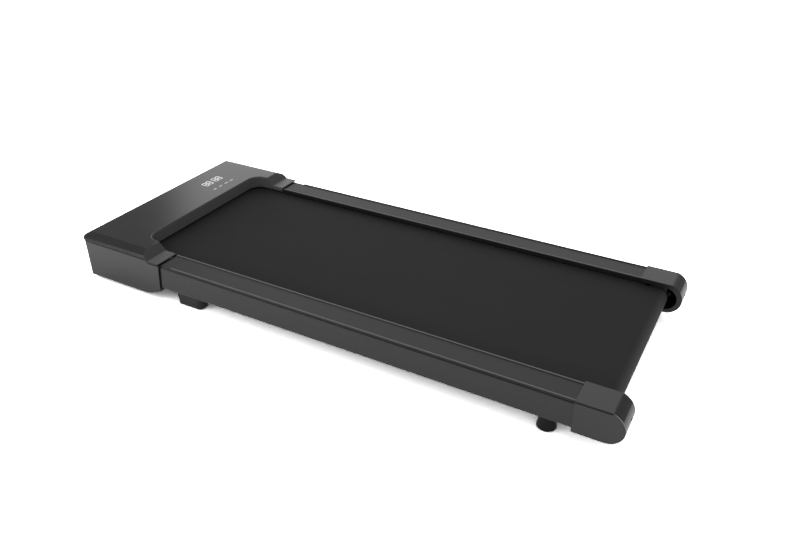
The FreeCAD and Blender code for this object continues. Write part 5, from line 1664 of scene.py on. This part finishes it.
@dataclass
class MainsPanel:
    """Inlet, switch and breaker in the tray's nose."""

    mark_size: float = 0.0032
    mark_line: float = 0.0006
    mark_rise: float = 0.0001
    mark_share: float = 0.27

    def build(self) -> None:
        """Dresses the panel's parts and makes the marks on the rocker."""
        dress(SOCKET_PLASTIC, "power_inlet")
        dress(PANEL_PLASTIC, "switch_body", "breaker_body")
        dress(ROCKER_PLASTIC, "switch_rocker")
        dress(BUTTON_PLASTIC, "breaker_button")
        self.rocker_marks()

    def rocker_marks(self) -> None:
        """Makes the stroke and the ring on the rocker's two halves."""
        low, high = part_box("switch_rocker")
        skin = Skin("switch_rocker")
        y = (low.y + high.y) / 2.0
        reach = (high.z - low.z) * self.mark_share
        middle = (low.z + high.z) / 2.0
        shaper = Shaper("rocker_marks")
        for side in (1.0, -1.0):
            spot = Vector((0.0, y, middle + side * reach))
            panel = skin.panel(spot, Vector((1.0, 0.0, 0.0)), Vector((0.0, -1.0, 0.0)))
            if side > 0.0:
                outline = capsule(0.0, 0.0, self.mark_size, 2.0 * self.mark_line)
                shaper.plate(panel, [(-v, u) for u, v in outline], self.mark_rise, self.mark_rise / 2.0)
            else:
                self.ring(shaper, panel)
        shaper.finish("power_rocker", "display", PALE_INK)

    def ring(self, shaper: Shaper, panel: Panel, steps: int = 24) -> None:
        """Adds the ring.

        Args:
            shaper: piece that takes it.
            panel: place on the rocker.
            steps: sides of the ring.
        """
        outer = self.mark_size / 2.0
        inner = outer - self.mark_line
        rise = self.mark_rise
        rims = ((outer, -rise), (outer, rise), (inner, rise), (inner, -rise), (outer, -rise))
        turns = [math.tau * step / steps for step in range(steps)]
        loops = []
        for radius, out in rims:
            loops.append([panel.at(radius * math.cos(turn), radius * math.sin(turn), out) for turn in turns])
        shaper.rings(loops, capped=False)


@dataclass
class Undercarriage:
    """Feet, their bolts and the transport wheels."""

    def build(self) -> None:
        """Dresses the undercarriage."""
        dress(FOOT_RUBBER, *both("front_foot"))
        dress(FOOT_POLYMER, *both("rear_foot"))
        dress(PLATED_STEEL, "foot_bolts")
        Fasteners("foot_bolts", Recess.HEXAGON, reach=0.62).build()
        dress(TURNED_STEEL, "wheel_axles")
        low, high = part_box("left_transport_wheel")
        middle = ((low.x + high.x) / 2.0, (low.z + high.z) / 2.0)
        dress(replace(WHEEL_POLYMER, centre=middle), *both("transport_wheel"))


@dataclass(frozen=True)
class Lamp:
    """A soft box."""

    name: str
    place: Triple
    target: Triple
    size: Spot
    power: float
    mirrored: bool = False

    def build(self) -> None:
        """Makes the lamp and turns it to its target."""
        data = bpy.data.lights.new(self.name, "AREA")
        data.shape = "RECTANGLE"
        data.size, data.size_y = self.size
        data.energy = self.power
        thing = bpy.data.objects.new(self.name, data)
        thing.location = self.place
        away = Vector(self.place) - Vector(self.target)
        thing.rotation_euler = away.to_track_quat("Z", "Y").to_euler()
        thing.visible_camera = False
        thing.visible_glossy = self.mirrored
        bpy.context.scene.collection.objects.link(thing)
        log.info("lit %s", self.name)


@dataclass
class Studio:
    """Pale floor, soft light and the camera of the product photograph."""

    lens: float = 34.198
    sensor: float = 36.0
    azimuth: float = 28.79
    elevation: float = 31.154
    camera_at: Triple = (0.7459, -1.2381, 0.9239)
    floor_reach: float = 20.0
    floor_colour: Colour = (0.95, 0.95, 0.95)
    floor_glow: float = 0.1
    floor_dim: Range = (0.8, 1.5)
    ambient: float = 0.8
    room_level: float = 0.3
    wall_from: Range = (62.0, 92.0)
    wall_to: Range = (134.0, 139.0)
    sweep_level: float = 1.38
    sweep_from: Range = (118.0, 130.0)
    sweep_top: Range = (26.0, 32.0)
    lamps: tuple[Lamp, ...] = (
        Lamp("overhead", (0.0, 0.0, 3.4), (0.0, 0.0, 0.0), (4.0, 3.0), 26.0),
        Lamp("front", (-1.7, -1.9, 1.6), (-0.1, 0.0, 0.1), (1.2, 1.2), 16.0, mirrored=True),
    )

    def build(self) -> None:
        """Sets the view transform, the camera, the world, the floor and the lamps."""
        bpy.context.scene.view_settings.view_transform = "Standard"
        self.camera()
        self.world()
        self.floor()
        for lamp in self.lamps:
            lamp.build()

    def camera(self) -> None:
        """Makes the camera."""
        data = bpy.data.cameras.new("camera")
        data.sensor_fit = "HORIZONTAL"
        data.lens, data.sensor_width = self.lens, self.sensor
        thing = bpy.data.objects.new("camera", data)
        turn, rise = math.radians(self.azimuth), math.radians(self.elevation)
        away = Vector((math.sin(turn) * math.cos(rise), -math.cos(turn) * math.cos(rise), math.sin(rise)))
        thing.location = self.camera_at
        thing.rotation_euler = away.to_track_quat("Z", "Y").to_euler()
        bpy.context.scene.collection.objects.link(thing)
        bpy.context.scene.camera = thing

    def ray(self, graph: NodeGraph, kind: str) -> Socket:
        """One for the rays of a kind, else zero."""
        return graph.node("ShaderNodeLightPath", output=f"Is {kind} Ray")

    def mirrored(self, graph: NodeGraph) -> Socket:
        """One for the rays that show the surroundings in metal, plastic or glass, else zero."""
        return graph.math("MAXIMUM", self.ray(graph, "Glossy"), self.ray(graph, "Transmission"))

    def backdrop(self, graph: NodeGraph, level: float) -> Socket:
        """A white background of the given strength."""
        return graph.node("ShaderNodeBackground", None, {"Color": WHITE, "Strength": level})

    def mix(self, graph: NodeGraph, share: Value, low: Socket, high: Socket) -> Socket:
        """Mixes two shaders."""
        return graph.node("ShaderNodeMixShader", None, {0: share, 1: low, 2: high})

    def add(self, graph: NodeGraph, first: Socket, second: Socket) -> Socket:
        """Adds two shaders."""
        return graph.node("ShaderNodeAddShader", None, {0: first, 1: second})

    def surroundings(self, graph: NodeGraph) -> Socket:
        """Draws the studio as surfaces mirror it: a dim room, a lit back wall and its bright sweep.

        Args:
            graph: the world's nodes.

        Returns:
            The shader.
        """
        way = graph.node("ShaderNodeTexCoord", output="Generated")
        x, y, z = (graph.along(way, axis) for axis in Axis)
        turn = graph.math("DEGREES", graph.math("ARCTAN2", y, x))
        rise = graph.math("DEGREES", graph.math("ARCSINE", z))
        wall = graph.fade(turn, self.wall_from) * (1.0 - graph.fade(turn, self.wall_to))
        sweep = graph.fade(turn, self.sweep_from) * (1.0 - graph.fade(rise, self.sweep_top))
        lit = self.mix(graph, sweep, self.backdrop(graph, 1.0), self.backdrop(graph, self.sweep_level))
        return self.mix(graph, wall, self.backdrop(graph, self.room_level), lit)

    def world(self) -> None:
        """Makes the white background, the surroundings that surfaces mirror and the ambient light."""
        world = bpy.data.worlds.new("studio")
        world.use_nodes = True
        bpy.context.scene.world = world
        graph = NodeGraph(world.node_tree)
        ambient = self.backdrop(graph, self.ambient)
        mixed = self.mix(graph, self.mirrored(graph), ambient, self.surroundings(graph))
        white = self.backdrop(graph, 1.0)
        graph.close(self.mix(graph, self.ray(graph, "Camera"), mixed, white), "ShaderNodeOutputWorld")

    def floor(self) -> None:
        """Makes the floor: white to the eye, with the pad's soft shadow."""
        reach = self.floor_reach
        data = bpy.data.meshes.new("floor")
        signs = ((-1.0, -1.0), (1.0, -1.0), (1.0, 1.0), (-1.0, 1.0))
        corners = [(reach * x, reach * y, 0.0) for x, y in signs]
        data.from_pydata(corners, [], [(0, 1, 2, 3)])
        material = bpy.data.materials.new("floor")
        material.use_nodes = True
        graph = NodeGraph(material.node_tree)
        paper = graph.node("ShaderNodeBsdfDiffuse", None, {"Color": self.floor_colour})
        glow = graph.node("ShaderNodeEmission", None, {"Color": WHITE, "Strength": self.floor_glow})
        pale = self.add(graph, paper, glow)
        white = self.add(graph, self.add(graph, paper, paper), paper)
        dim = graph.node("ShaderNodeBsdfDiffuse", None, {"Color": (self.room_level,) * 3})
        beyond = graph.fade(graph.along(graph.place(), Axis.X), self.floor_dim)
        mixed = self.mix(graph, self.mirrored(graph), paper, self.mix(graph, beyond, pale, dim))
        graph.close(self.mix(graph, self.ray(graph, "Camera"), mixed, white))
        data.materials.append(material)
        thing = bpy.data.objects.new("floor", data)
        bpy.context.scene.collection.objects.link(thing)


def main() -> None:
    """Builds the pad's looks, sub-assembly by sub-assembly, and the studio round it."""
    logging.basicConfig(level=logging.INFO, format="%(message)s")
    for group in (Studio(), Head(), SideRails(), WalkingSurface(), RearEnd(), Drive(), Electronics(),
                  MainsPanel(), Undercarriage()):
        log.info("building %s", type(group).__name__)
        group.build()


if __name__ == "__main__":
    main()
